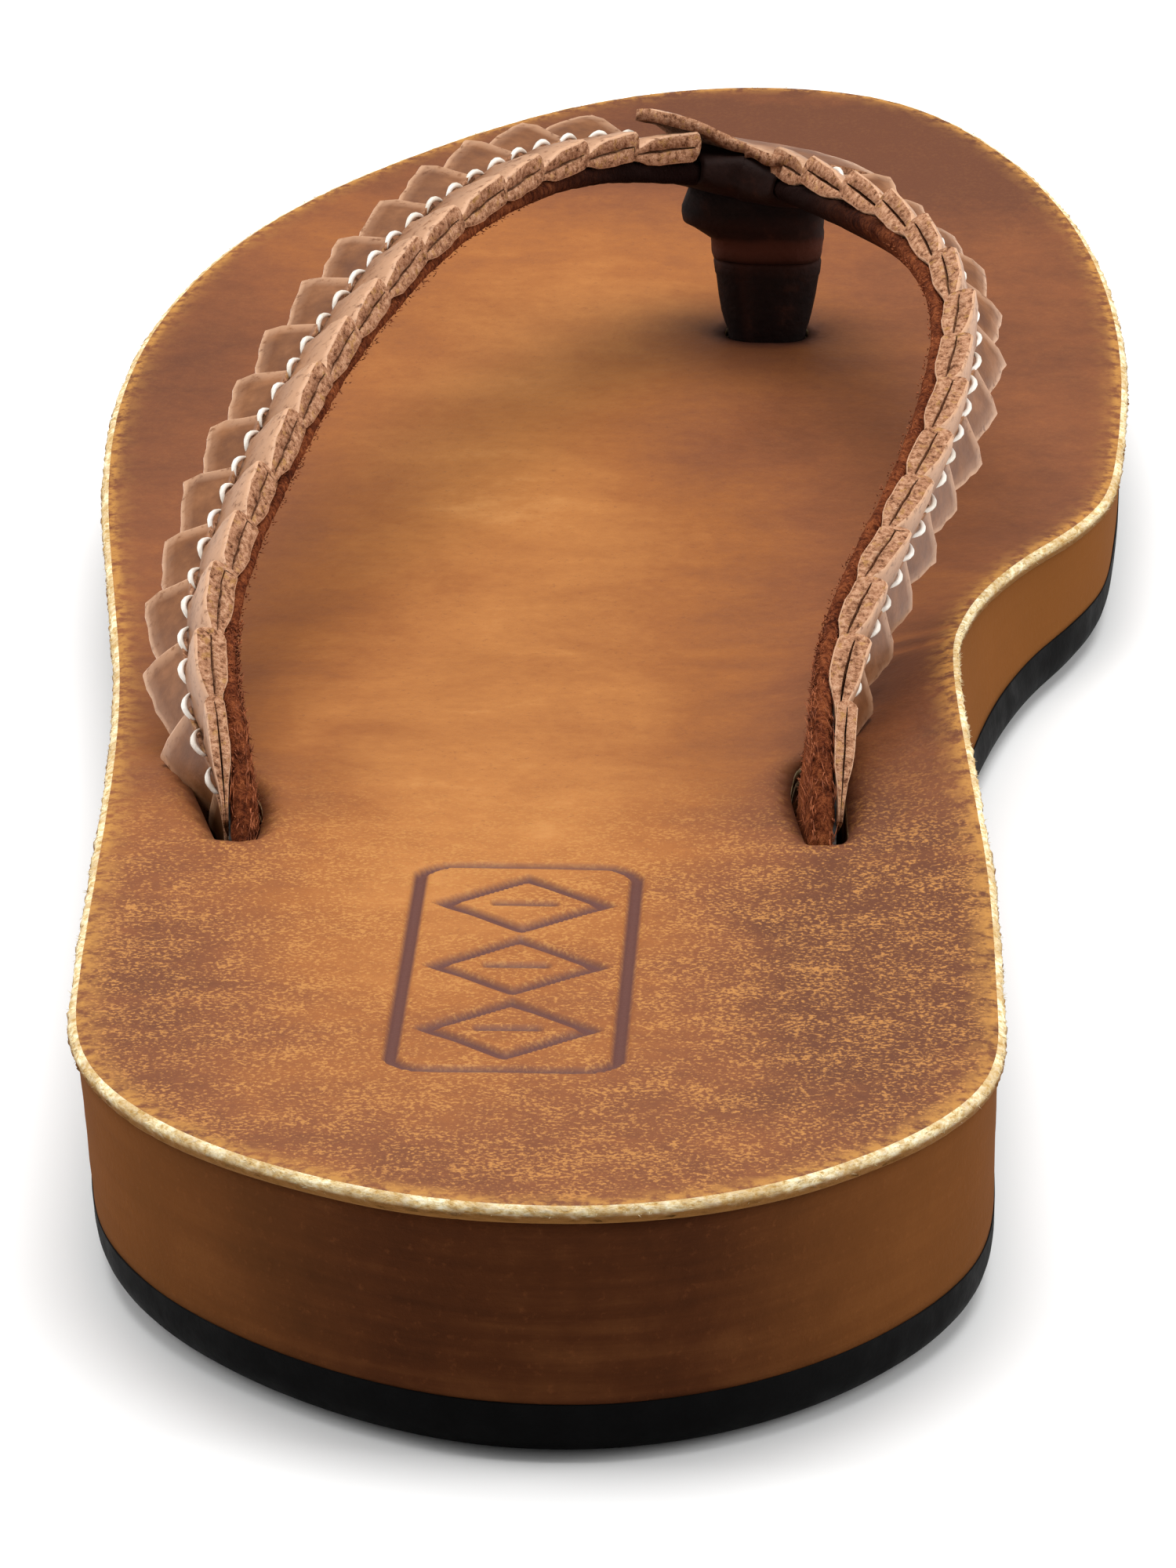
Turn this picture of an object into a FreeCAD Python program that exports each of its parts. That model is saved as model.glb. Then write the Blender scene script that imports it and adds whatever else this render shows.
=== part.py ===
import FreeCAD, Part
import math
import os

# Braided leather flip flop for the left foot. Millimetres, +Z up, +Y from heel to toe, +X towards
# the arch (medial side). The origin is on the ground, under the middle of the sole.

Vector = FreeCAD.Vector

DIMENSIONS = {
    # sole
    "sole_length": 260.0,
    "ball_width": 88.4,
    "heel_height": 20.0,
    "ball_height": 12.0,
    "toe_height": 17.5,
    "arch_rise": 5.0,
    "toe_spring": 5.5,
    "leather_thickness": 1.4,
    "backing_thickness": 0.8,
    "outsole_thickness": 4.6,
    "outsole_rounding": 2.8,
    # tread
    "tread_depth": 1.3,
    "tread_width": 3.0,
    "tread_pitch": 8.0,
    "tread_rim": 7.0,
    # straps
    "lining_width": 8.8,
    "lining_thickness": 1.0,
    "tape_width": 6.4,
    "tape_thickness": 0.5,
    "tape_tail": 14.0,
    "slot_width": 6.0,
    "slot_length": 19.0,
    # braid
    "braid_width": 9.4,
    "tab_pitch": 7.9,
    "tab_gap": 0.2,
    "tab_root_height": 1.0,
    "tab_tip_height": 2.4,
    "seam_width": 1.0,
    "thread_diameter": 0.7,
    "stitch_pitch": 3.95,
    "stitch_reach": 2.9,
    # toe post
    "loop_width": 12.4,
    "loop_thickness": 1.5,
    "loop_clearance": 0.15,
    "neck_depth": 6.0,
    "neck_bottom": 20.8,
    "post_top_width": 9.6,
    "post_base_width": 7.2,
    "post_depth": 4.8,
    "post_foot_height": 8.0,
    "post_tape_width": 4.4,
    "post_tape_thickness": 1.6,
    "post_tail": 11.0,
    "recess_height": 1.6,
}

doc = FreeCAD.newDocument("flip_flop")
sheet = doc.addObject("Spreadsheet::Sheet", "dims")
for row, (name, value) in enumerate(DIMENSIONS.items(), start=1):
    sheet.set("A%d" % row, name)
    sheet.set("B%d" % row, str(value))
    sheet.setAlias("B%d" % row, name)
doc.recompute()


def dim(name):
    """A driving dimension, read back from the sheet."""
    return float(getattr(sheet, name))


# ---------------------------------------------------------------------------------------------
# Document helpers
# ---------------------------------------------------------------------------------------------

def bind(obj, **expressions):
    """Binds an object's properties to expressions of the sheet's cells."""
    for prop, expression in expressions.items():
        obj.setExpression(prop, expression)
    return obj


def feature(name, shape):
    """A free-form shape, worked out from the sheet, as an object of the document."""
    obj = doc.addObject("Part::Feature", name)
    obj.Shape = shape
    obj.Placement = FreeCAD.Placement()
    return obj


def boolean(kind, name, base, tool):
    obj = doc.addObject("Part::" + kind, name)
    obj.Base = base
    obj.Tool = tool
    return obj


def fuse(name, *parts):
    obj = doc.addObject("Part::MultiFuse", name)
    obj.Shapes = list(parts)
    return obj


def block(name, centre_x, centre_y, low_z, length, width, height):
    """A box whose three sizes are expressions, centred on a point of the plan."""
    obj = doc.addObject("Part::Box", name)
    bind(obj, Length=length, Width=width, Height=height)
    obj.setExpression("Placement.Base.x", "%r - 0.5 * (%s)" % (centre_x, length))
    obj.setExpression("Placement.Base.y", "%r - 0.5 * (%s)" % (centre_y, width))
    obj.setExpression("Placement.Base.z", low_z)
    return obj


# ---------------------------------------------------------------------------------------------
# Sole: plan outline and side profiles
# ---------------------------------------------------------------------------------------------

# Plan of the sole, counter-clockwise from the back of the heel. Each point is (across, along) as
# a fraction of the ball width and of the sole length, from the middle of the sole.
OUTLINE = [
    (0.006, -0.500), (0.168, -0.486), (0.289, -0.448), (0.356, -0.404), (0.371, -0.340),
    (0.361, -0.215), (0.341, -0.130), (0.335, -0.070), (0.350, -0.010), (0.378, 0.040),
    (0.424, 0.073), (0.474, 0.112), (0.492, 0.156), (0.500, 0.225), (0.487, 0.308),
    (0.442, 0.385), (0.365, 0.447), (0.255, 0.489), (0.120, 0.500), (-0.030, 0.488),
    (-0.215, 0.440), (-0.380, 0.366), (-0.470, 0.281), (-0.500, 0.185), (-0.484, 0.085),
    (-0.442, -0.040), (-0.414, -0.200), (-0.400, -0.330), (-0.368, -0.402), (-0.276, -0.452),
    (-0.145, -0.486),
]

# At the waist the wall leans out towards the ground. Each value is what the outline's point of
# that number gains across, as a fraction of the ball width.
WAIST_FLARE = {6: 0.003, 7: 0.012, 8: 0.030, 9: 0.030, 10: 0.012}


def outline_points(z, flare):
    """The outline's points at a height, with a share of the waist's flare."""
    points = []
    for number, (x, y) in enumerate(OUTLINE):
        across = x + flare * WAIST_FLARE.get(number, 0.0)
        points.append(Vector(across * dim("ball_width"), y * dim("sole_length"), z))
    return points


def outline_places():
    """Distance round the plain outline at which each of its points lies, and its whole length."""
    points = outline_points(0.0, 0.0)
    places = [0.0]
    for start, end in zip(points, points[1:] + points[:1]):
        places.append(places[-1] + (end - start).Length)
    return places


def outline_curve(z=0.0, flare=0.0):
    curve = Part.BSplineCurve()
    points = outline_points(z, flare)
    curve.interpolate(Points=points, PeriodicFlag=True, Parameters=outline_places())
    return curve


def outline_wire():
    """The closed, smooth outline of the sole at the ground plane."""
    return Part.Wire([outline_curve().toShape()])


def parted_outline(z, flare, parts=4):
    """The outline at a height, in a few edges that run smoothly into each other."""
    places = outline_places()
    last = len(places) - 1
    cuts = [places[round(last * k / parts)] for k in range(parts + 1)]
    edges = []
    for start, end in zip(cuts, cuts[1:]):
        part = outline_curve(z, flare)
        part.segment(start, end)
        edges.append(part.toShape())
    return Part.Wire(edges)


def spring_start():
    """Where the flat of the outsole ends and the toe spring's arc begins."""
    return 0.1 * dim("sole_length")


def spring_radius():
    """Radius of the arc that leaves the ground flat and is a toe spring high at the toe."""
    run = 0.5 * dim("sole_length") - spring_start()
    rise = dim("toe_spring")
    return (run ** 2 + rise ** 2) / (2.0 * rise)


def ground_height(y):
    """Height of the outsole's lower face: flat, then rising in an arc to the toe."""
    run = max(0.0, y - spring_start())
    radius = spring_radius()
    return radius - math.sqrt(radius ** 2 - run ** 2)


def footbed_height(x, y):
    """Height of the leather's upper face: heel down to ball, up to the toe, raised at the arch."""
    length = dim("sole_length")
    along = y / length + 0.5
    heel_slope = min(1.0, along / 0.48)
    base = dim("heel_height") + (dim("ball_height") - dim("heel_height")) * heel_slope
    toe_rise = max(0.0, (along - 0.385) / 0.615)
    base += (dim("toe_height") - dim("ball_height")) * toe_rise ** 2
    arch = math.exp(-((along - 0.415) / 0.1) ** 2)
    side = (max(0.0, x / dim("ball_width") + 0.02) / 0.37) ** 5
    return base + dim("arch_rise") * arch * 1.6 * side / (0.6 + side)


def stations(count):
    """Places along the sole, running past both ends."""
    half = 0.5 * dim("sole_length") + 6.0
    return [-half + 2.0 * half * i / (count - 1) for i in range(count)]


def smooth_edge(points):
    curve = Part.BSplineCurve()
    curve.interpolate(points)
    return curve.toShape()


def under_surface(height, lowered):
    """Everything under a surface z = height(x, y), down to well below the ground."""
    depth = 60.0
    reach = 0.6 * dim("ball_width")
    count = 11
    across = [-reach + 2.0 * reach * i / (count - 1) for i in range(count)]
    rows = []
    for x in across:
        rows.append([Vector(x, y, height(x, y) - lowered) for y in stations(15)])
    surface = Part.BSplineSurface()
    surface.interpolate(rows)
    return surface.toShape().extrude(Vector(0, 0, -depth))


def under_profile(raised):
    """Everything under the ground profile, raised by a height, the same all across."""
    reach = 0.8 * dim("ball_width")
    depth = 40.0
    heel = -0.5 * dim("sole_length") - 10.0
    bend = spring_start()
    toe = -heel

    def on_profile(y):
        return Vector(-reach, y, ground_height(y) + raised)

    flat = Part.LineSegment(on_profile(heel), on_profile(bend)).toShape()
    rise = Part.Arc(on_profile(bend), on_profile(0.5 * (bend + toe)), on_profile(toe)).toShape()
    low_heel = Vector(-reach, heel, -depth)
    low_toe = Vector(-reach, toe, -depth)
    rest = Part.makePolygon([on_profile(toe), low_toe, low_heel, on_profile(heel)])
    face = Part.Face(Part.Wire([flat, rise] + rest.Edges))
    return face.extrude(Vector(2.0 * reach, 0, 0))


outline = feature("outline", outline_wire())
sole_blank = doc.addObject("Part::Extrusion", "sole_blank")
sole_blank.Base = outline
sole_blank.DirMode = "Custom"
sole_blank.Dir = Vector(0, 0, 1)
sole_blank.Solid = True
bind(sole_blank, LengthFwd="dims.heel_height * 2", LengthRev="10")


def flared_blank():
    """The sole's wall from below the ground up past the midsole, leaning out at the waist."""
    low = -4.0
    high = dim("heel_height") + 0.7 * dim("arch_rise")
    wires = [parted_outline(low, (high - low) / high), parted_outline(high, 0.0)]
    return Part.makeLoft(wires, True, True)


wall_blank = feature("wall_blank", flared_blank())

below_leather = dim("leather_thickness")
below_backing = below_leather + dim("backing_thickness")
footbed_form = feature("footbed_form", under_surface(footbed_height, 0.0))
backing_form = feature("backing_form", under_surface(footbed_height, below_leather))
midsole_form = feature("midsole_form", under_surface(footbed_height, below_backing))
outsole_form = feature("outsole_form", under_profile(dim("outsole_thickness")))
ground_form = feature("ground_form", under_profile(0.0))


def layer(name, blank, upper, lower):
    """The slice of a blank between two forms."""
    capped = boolean("Common", name + "_capped", blank, upper)
    return boolean("Cut", name + "_layer", capped, lower)


# ---------------------------------------------------------------------------------------------
# Thong line: one smooth line from the lateral slot, over the toes, to the medial slot
# ---------------------------------------------------------------------------------------------

# Each row is a point of the line on which the braid sits, then the direction that the strap's
# outer face looks in. The line starts inside the midsole and crosses the footbed at row two.
LATERAL = [
    (-26.6, -51.0, 8.2, -1.0, 0.0, 0.0),
    (-26.7, -46.8, 13.8, -1.0, 0.0, 0.0),
    (-29.0, -38.5, 18.4, -0.95, -0.16, 0.22),
    (-30.5, -26.5, 22.4, -0.79, -0.12, 0.6),
    (-29.0, -11.4, 26.1, -0.6, -0.07, 0.79),
    (-26.1, 3.9, 29.3, -0.5, -0.03, 0.87),
    (-22.2, 19.0, 32.0, -0.41, 0.0, 0.91),
    (-17.2, 33.7, 34.0, -0.27, 0.05, 0.96),
    (-11.2, 48.1, 34.4, -0.1, 0.1, 0.99),
    (-4.2, 61.0, 33.0, 0.06, 0.14, 0.99),
    (3.1, 68.0, 30.8, 0.1, 0.2, 0.97),
]
APEX = (10.8, 71.0, 28.8, 0.08, 0.25, 0.96)
MEDIAL = [
    (16.4, 66.6, 29.0, 0.15, 0.24, 0.94),
    (19.8, 58.3, 29.8, 0.37, 0.24, 0.88),
    (24.2, 48.0, 30.6, 0.55, 0.25, 0.8),
    (27.6, 36.3, 30.8, 0.75, 0.13, 0.62),
    (29.3, 21.1, 29.6, 0.95, -0.02, 0.31),
    (27.7, 5.8, 27.4, 0.98, -0.14, 0.04),
    (24.7, -9.2, 24.9, 0.98, -0.2, -0.1),
    (21.5, -23.0, 22.2, 0.98, -0.2, -0.05),
    (19.5, -36.0, 18.9, 0.99, 0.05, -0.06),
    (19.5, -46.1, 14.3, 0.98, 0.1, -0.14),
    (19.4, -50.6, 8.6, 0.98, 0.1, -0.14),
]
THONG = LATERAL + [APEX] + MEDIAL


class ThongLine:
    """A smooth line through the rows, with the strap's outward and rearward directions on it."""

    def __init__(self, rows):
        points = [Vector(*r[:3]) for r in rows]
        steps = [0.0]
        for a, b in zip(points, points[1:]):
            steps.append(steps[-1] + a.distanceToPoint(b))
        self.length = steps[-1]
        self.line = Part.BSplineCurve()
        self.line.interpolate(Points=points, Parameters=steps)
        self.guide = Part.BSplineCurve()
        guide_points = [Vector(*r[:3]) + Vector(*r[3:]) for r in rows]
        self.guide.interpolate(Points=guide_points, Parameters=steps)
        self.apex = steps[len(LATERAL)]

    def frame(self, s):
        """Point, outward direction and rearward direction at a distance along the line."""
        tangent = self.line.tangent(s)[0]
        outward = self.guide.value(s) - self.line.value(s)
        outward = (outward - tangent * outward.dot(tangent)).normalize()
        return self.line.value(s), outward, tangent.cross(outward)

    def offset(self, s, rearward, outward):
        point, out, rear = self.frame(s)
        return point + rear * rearward + out * outward


thong = ThongLine(THONG)


def spread(start, end, step):
    """Evenly spaced distances from start to end, about a step apart."""
    count = max(2, int(round((end - start) / step)) + 1)
    return [start + (end - start) * i / (count - 1) for i in range(count)]


def closed_solid(faces):
    solid = Part.Solid(Part.makeShell(faces))
    if solid.Volume < 0:
        solid.reverse()
    return solid


def ribbon(start, end, half_width, low, high, step=5.0):
    """A flat band along the thong line, of rectangular section."""
    places = spread(start, end, step)
    corners = [(-half_width, low), (half_width, low), (half_width, high), (-half_width, high)]
    rails = []
    for rearward, outward in corners:
        rails.append(smooth_edge([thong.offset(s, rearward, outward) for s in places]))
    faces = [Part.makeRuledSurface(rails[i], rails[(i + 1) % 4]) for i in range(4)]
    for s in (start, end):
        loop = [thong.offset(s, rearward, outward) for rearward, outward in corners]
        faces.append(Part.Face(Part.makePolygon(loop + loop[:1])))
    return closed_solid(faces)


def wedge(start, end, inner, outer, heights_start, heights_end):
    """One straight-sided tab between two places of the line, thin at one end, high at the other."""
    def section(s, heights):
        low, high = heights
        ring = [(inner, low), (outer, low), (outer, high), (inner, high)]
        points = [thong.offset(s, rearward, outward) for rearward, outward in ring]
        return Part.makePolygon(points + points[:1])
    return Part.makeLoft([section(start, heights_start), section(end, heights_end)], True, True)


# ---------------------------------------------------------------------------------------------
# Straps: lining, tape, braided tabs and stitching
# ---------------------------------------------------------------------------------------------

apex_gap = 0.15
loop_half = 0.5 * dim("loop_width")
tape_low = -dim("tape_thickness")
lining_high = tape_low - 0.15
lining_low = lining_high - dim("lining_thickness")
SIDES = {
    "lateral": {"strap": (0.0, thong.apex - apex_gap), "slot": LATERAL[1], "end": LATERAL[0]},
    "medial": {"strap": (thong.apex + apex_gap, thong.length), "slot": MEDIAL[-2], "end": MEDIAL[-1]},
}


def strap_lining(side):
    start, end = SIDES[side]["strap"]
    shape = ribbon(start, end, 0.5 * dim("lining_width"), lining_low, lining_high)
    return feature("strap_lining_" + side, shape)


def strap_tape(side):
    """The nylon tape inside a strap, with its tail folded flat under the midsole."""
    start, end = SIDES[side]["strap"]
    band = feature("tape_band_" + side, ribbon(start, end, 0.5 * dim("tape_width"), tape_low, 0.0))
    x, y, z = SIDES[side]["end"][:3]
    inward = 1.0 if side == "lateral" else -1.0
    leg_x = x + inward * 0.5 * dim("tape_thickness")
    tail_x = x + inward * 0.5 * dim("tape_tail")
    floor = "dims.outsole_thickness + 0.05"
    leg_height = "%r - dims.outsole_thickness" % z
    leg = block("tape_leg_" + side, leg_x, y, floor, "dims.tape_thickness", "dims.tape_width", leg_height)
    tail = block(
        "tape_tail_" + side, tail_x, y, floor, "dims.tape_tail", "dims.tape_width", "dims.tape_thickness"
    )
    return fuse("strap_tape_" + side, band, leg, tail)


def braid_row(side, row):
    """One row of folded leather tabs, each with its high end towards the toe."""
    rearward = 1.0 if row == "inner" else -1.0
    pitch = dim("tab_pitch")
    clear_of_slot = 7.0
    clear_of_loop = loop_half + 0.4
    seam = 0.5 * dim("seam_width")
    edge = 0.5 * dim("braid_width")
    low = 0.15
    root = (low, dim("tab_root_height"))
    tip = (low, dim("tab_tip_height"))
    length = (thong.apex - clear_of_loop) - clear_of_slot
    if side == "medial":
        length = (thong.length - clear_of_slot) - (thong.apex + clear_of_loop)
    phase = 0.0 if row == "inner" else 0.5 * pitch
    count = int((length - phase) / pitch)
    tabs = []
    for i in range(count):
        near = clear_of_slot + phase + i * pitch
        far = near + pitch - dim("tab_gap")
        ends = (near, far)
        if side == "medial":
            ends = (thong.length - near, thong.length - far)
        tabs.append(wedge(ends[0], ends[1], rearward * seam, rearward * edge, root, tip))
    return feature("braid_%s_%s" % (row, side), Part.makeCompound(tabs))


def stitching(side):
    """The row of white stitches along the middle of a strap, as short lengths of thread."""
    radius = 0.5 * dim("thread_diameter")
    height = 0.8
    first = 11.0
    last = thong.apex - loop_half - 2.0
    if side == "medial":
        last = thong.length - thong.apex - loop_half - 2.0
    threads = []
    count = int((last - first) / dim("stitch_pitch"))
    for i in range(count):
        near = first + i * dim("stitch_pitch")
        far = near + dim("stitch_reach")
        ends = [near, far] if side == "lateral" else [thong.length - near, thong.length - far]
        a, b = [thong.offset(s, 0.0, height) for s in ends]
        threads.append(Part.makeCylinder(radius, a.distanceToPoint(b), a, b - a))
    return feature("stitching_" + side, Part.makeCompound(threads))


# ---------------------------------------------------------------------------------------------
# Toe post: loop over the straps, sleeve and tape
# ---------------------------------------------------------------------------------------------

POST_X = 12.3
POST_Y = 70.0
loop_start = thong.apex + 1.0 - loop_half
loop_end = thong.apex + 1.0 + loop_half


def rounded_section(width, depth, z):
    """A rounded rectangle of the post at a height, as a closed wire."""
    radius = 0.4 * depth
    x0, x1 = POST_X - 0.5 * width, POST_X + 0.5 * width
    y0, y1 = POST_Y - 0.5 * depth, POST_Y + 0.5 * depth
    face = Part.makePlane(x1 - x0, y1 - y0, Vector(x0, y0, z))
    slab = face.extrude(Vector(0, 0, 1))
    upright = [e for e in slab.Edges if abs(e.tangentAt(e.FirstParameter).z) > 0.9]
    rounded = slab.makeFillet(radius, upright)
    lowest = min(rounded.Faces, key=lambda f: f.CenterOfMass.z)
    return lowest.OuterWire


def toe_loop():
    """The leather loop round the straps, with the neck that reaches down to the sleeve."""
    half = 0.5 * dim("lining_width")
    wall = dim("loop_thickness")
    clearance = dim("loop_clearance")
    band = ribbon(loop_start, loop_end, half + wall, lining_low - wall, wall + clearance, 2.0)
    tunnel = ribbon(
        loop_start - 3.0, loop_end + 3.0, half + clearance, lining_low - clearance, clearance, 2.0
    )
    neck = Part.makeLoft(
        [
            rounded_section(dim("post_top_width") + 0.6, dim("neck_depth"), dim("neck_bottom")),
            rounded_section(dim("loop_width") - 1.4, dim("neck_depth") + 0.4, dim("neck_bottom") + 5.0),
        ],
        True,
        True,
    )
    body = feature("loop_body", band.fuse(neck).cut(tunnel))
    bore = block(
        "loop_bore", POST_X, POST_Y, "dims.neck_bottom - 1", "dims.post_tape_width + 0.2",
        "dims.post_tape_thickness + 0.2", "3.6"
    )
    return boolean("Cut", "toe_loop", body, bore)


def toe_post_sleeve():
    """The tapered leather sleeve between the neck and the midsole, bored for the tape."""
    top = dim("neck_bottom") - 0.1
    surface = footbed_height(POST_X, POST_Y)
    shell = Part.makeLoft(
        [
            rounded_section(dim("post_base_width"), dim("post_depth") - 0.4, dim("post_foot_height")),
            rounded_section(dim("post_base_width"), dim("post_depth") - 0.4, surface),
            rounded_section(dim("post_top_width"), dim("post_depth"), top),
        ],
        True,
        True,
    )
    solid = feature("sleeve_solid", shell)
    bore = block(
        "sleeve_bore", POST_X, POST_Y, "dims.post_foot_height - 1", "dims.post_tape_width + 0.2",
        "dims.post_tape_thickness + 0.2", "dims.neck_bottom"
    )
    return boolean("Cut", "toe_post_sleeve", solid, bore)


def toe_post_tape():
    """The nylon tape of the post: up through the sleeve, its tail spread under the midsole."""
    floor = "dims.outsole_thickness + %r" % (ground_height(POST_Y + 7.0) + 0.1)
    stem = block(
        "post_tape_stem", POST_X, POST_Y, floor, "dims.post_tape_width", "dims.post_tape_thickness",
        "dims.neck_bottom + 2.2 - (%s)" % floor
    )
    foot = block(
        "post_tape_foot", POST_X, POST_Y, floor, "dims.post_tape_width", "dims.post_tail", "0.8"
    )
    return fuse("toe_post_tape", stem, foot)


# ---------------------------------------------------------------------------------------------
# Sole layers with their slots, recesses and tread
# ---------------------------------------------------------------------------------------------

def slots():
    """Slots through the upper layers for the two straps and the toe post."""
    tools = []
    for side, outward in (("lateral", -0.9), ("medial", 0.45)):
        x, y = SIDES[side]["slot"][:2]
        tools.append(block(
            "slot_" + side, x + outward, y + 1.4, "2", "dims.slot_width", "dims.slot_length", "30"
        ))
    tools.append(block(
        "slot_toe", POST_X, POST_Y, "2", "dims.post_base_width + 0.3", "dims.post_depth - 0.1", "30"
    ))
    return fuse("slots", *tools)


def recesses():
    """Pockets in the midsole's lower face for the tails of the tapes."""
    pockets = []
    for side, inward in (("lateral", 1.0), ("medial", -1.0)):
        x, y = SIDES[side]["end"][:2]
        pockets.append(block(
            "recess_" + side, x + inward * (0.5 * dim("tape_tail") - 0.5), y, "2",
            "dims.tape_tail + 2", "dims.tape_width + 1.2", "dims.outsole_thickness + dims.recess_height - 2"
        ))
    rise = ground_height(POST_Y + 7.0)
    pockets.append(block(
        "recess_toe", POST_X, POST_Y, "2", "dims.post_tape_width + 1", "dims.post_tail + 1",
        "dims.outsole_thickness + dims.recess_height - 2 + %r" % rise
    ))
    return fuse("recesses", *pockets)


def tread_grooves():
    """Zigzag grooves across the sole, inside a plain rim."""
    pitch = dim("tread_pitch")
    width = dim("tread_width")
    reach = dim("ball_width")
    zigzag = 2.0
    inner = Part.Face(outline_wire().makeOffset2D(-dim("tread_rim")))
    grooves = []
    for k in range(-18, 13):
        y = spring_start() + zigzag + 0.5 + k * pitch
        spans = []
        for level in (y - zigzag, y + zigzag + width):
            chord = Part.makeLine(Vector(-reach, level, 0), Vector(reach, level, 0)).common(inner)
            if chord.Edges:
                spans.append((chord.BoundBox.XMin, chord.BoundBox.XMax))
        if len(spans) < 2:
            continue
        left = max(span[0] for span in spans)
        right = min(span[1] for span in spans)
        count = 2 * int((right - left) / 20.0)
        if count < 2:
            continue
        front = []
        for i in range(count + 1):
            front.append(Vector(left + (right - left) * i / count, y + zigzag * (-1) ** i, -1.0))
        back = [point + Vector(0, width, 0) for point in reversed(front)]
        strip = Part.Face(Part.makePolygon(front + back + front[:1]))
        grooves.append(strip.extrude(Vector(0, 0, ground_height(y) + dim("tread_depth") + 1.0)))
    return feature("tread_grooves", Part.makeCompound(grooves))


def outsole():
    """The rubber outsole: rounded along its lower edge, grooved underneath."""
    slab = layer("outsole", wall_blank, outsole_form, ground_form)
    doc.recompute()
    rounded = doc.addObject("Part::Fillet", "outsole_rounded")
    rounded.Base = slab
    low_edges = []
    for index, edge in enumerate(slab.Shape.Edges, start=1):
        middle = edge.valueAt(0.5 * (edge.FirstParameter + edge.LastParameter))
        if middle.z < ground_height(middle.y) + 0.5 * dim("outsole_thickness"):
            low_edges.append((index, dim("outsole_rounding"), dim("outsole_rounding")))
    rounded.Edges = low_edges
    return boolean("Cut", "outsole", rounded, tread_grooves())


openings = slots()
leather_layer = layer("leather", sole_blank, footbed_form, backing_form)
footbed_leather = boolean("Cut", "footbed_leather", leather_layer, openings)
backing_layer = layer("backing", sole_blank, backing_form, midsole_form)
footbed_backing = boolean("Cut", "footbed_backing", backing_layer, openings)
midsole_layer = layer("midsole", wall_blank, midsole_form, outsole_form)
midsole_slotted = boolean("Cut", "midsole_slotted", midsole_layer, openings)
midsole = boolean("Cut", "midsole", midsole_slotted, recesses())

nodes = [footbed_leather, footbed_backing, midsole, outsole()]
for side in SIDES:
    nodes += [strap_lining(side), strap_tape(side), stitching(side)]
    nodes += [braid_row(side, "inner"), braid_row(side, "outer")]
nodes += [toe_loop(), toe_post_sleeve(), toe_post_tape()]
for node in nodes:
    node.Label = node.Name

doc.recompute()

# ---------------------------------------------------------------------------------------------
# Checks and export
# ---------------------------------------------------------------------------------------------

for obj in doc.Objects:
    for state in ("Invalid", "Error"):
        if state in obj.State:
            raise RuntimeError("%s is %s" % (obj.Name, state))
for node in nodes:
    if node.Shape.isNull() or not node.Shape.isValid():
        raise RuntimeError("%s has no valid shape" % node.Label)

os.makedirs("parts", exist_ok=True)
for node in nodes:
    node.Shape.exportStep("parts/%s.step" % node.Label)
    box = node.Shape.BoundBox
    print("%-24s solids %2d volume %10.1f z %.2f..%.2f" % (
        node.Label, len(node.Shape.Solids), node.Shape.Volume, box.ZMin, box.ZMax))
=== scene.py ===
import math

import bpy
import numpy as np
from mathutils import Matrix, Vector, noise
from mathutils.geometry import delaunay_2d_cdt


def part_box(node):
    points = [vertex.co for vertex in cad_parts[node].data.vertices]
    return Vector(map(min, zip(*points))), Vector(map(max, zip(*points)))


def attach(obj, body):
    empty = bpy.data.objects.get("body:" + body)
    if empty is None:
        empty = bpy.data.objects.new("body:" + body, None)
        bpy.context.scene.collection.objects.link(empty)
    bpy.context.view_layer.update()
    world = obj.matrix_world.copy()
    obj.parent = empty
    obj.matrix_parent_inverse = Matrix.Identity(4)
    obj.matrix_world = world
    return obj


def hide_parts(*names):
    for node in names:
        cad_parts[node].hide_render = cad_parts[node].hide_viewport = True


# Looks of the braided leather flip flop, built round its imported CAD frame. Shapes are worked out in
# millimetres in the CAD's own frame (+Z up, +Y to the toe, +X to the arch) and stored in metres.

MM = 0.001
BODY = "root"

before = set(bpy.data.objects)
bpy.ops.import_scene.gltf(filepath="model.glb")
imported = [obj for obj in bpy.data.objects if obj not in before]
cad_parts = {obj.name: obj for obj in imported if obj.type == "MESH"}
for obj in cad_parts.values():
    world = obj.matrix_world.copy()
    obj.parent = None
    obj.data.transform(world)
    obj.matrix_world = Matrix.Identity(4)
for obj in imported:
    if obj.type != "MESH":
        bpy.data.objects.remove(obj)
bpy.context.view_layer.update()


# ----------------------------------------
# Sizes, from the frame
# ----------------------------------------

def node_box(node):
    low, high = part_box(node)
    return np.array(low) / MM, np.array(high) / MM


sole_low, sole_high = node_box("outsole")
LENGTH = sole_high[1] - sole_low[1]
WIDTH = sole_high[0] - sole_low[0]
HEEL_HEIGHT = 20.0
BALL_HEIGHT = 12.0
TOE_HEIGHT = 17.5
ARCH_RISE = 5.0
TOE_SPRING = 5.5
LEATHER = 1.4
BACKING = 0.8
OUTSOLE = 4.6
OUTSOLE_ROUNDING = 3.0
OUTSOLE_PROUD = 0.08       # how far the outsole's wall stands out past the foam's
TREAD_DEPTH = 1.3
TREAD_RIM = 7.5            # plain border of the tread
WALL_INSET = 0.55          # how far the foam's wall stands back from the leather's edge
LEAST_DRAFT = 0.15         # how far any wall leans in on its way down to the ground
LATERAL_DRAFT = 1.3        # the same on the outer side
HEEL_DRAFT = 0.35          # what the back of the heel adds to it

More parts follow.
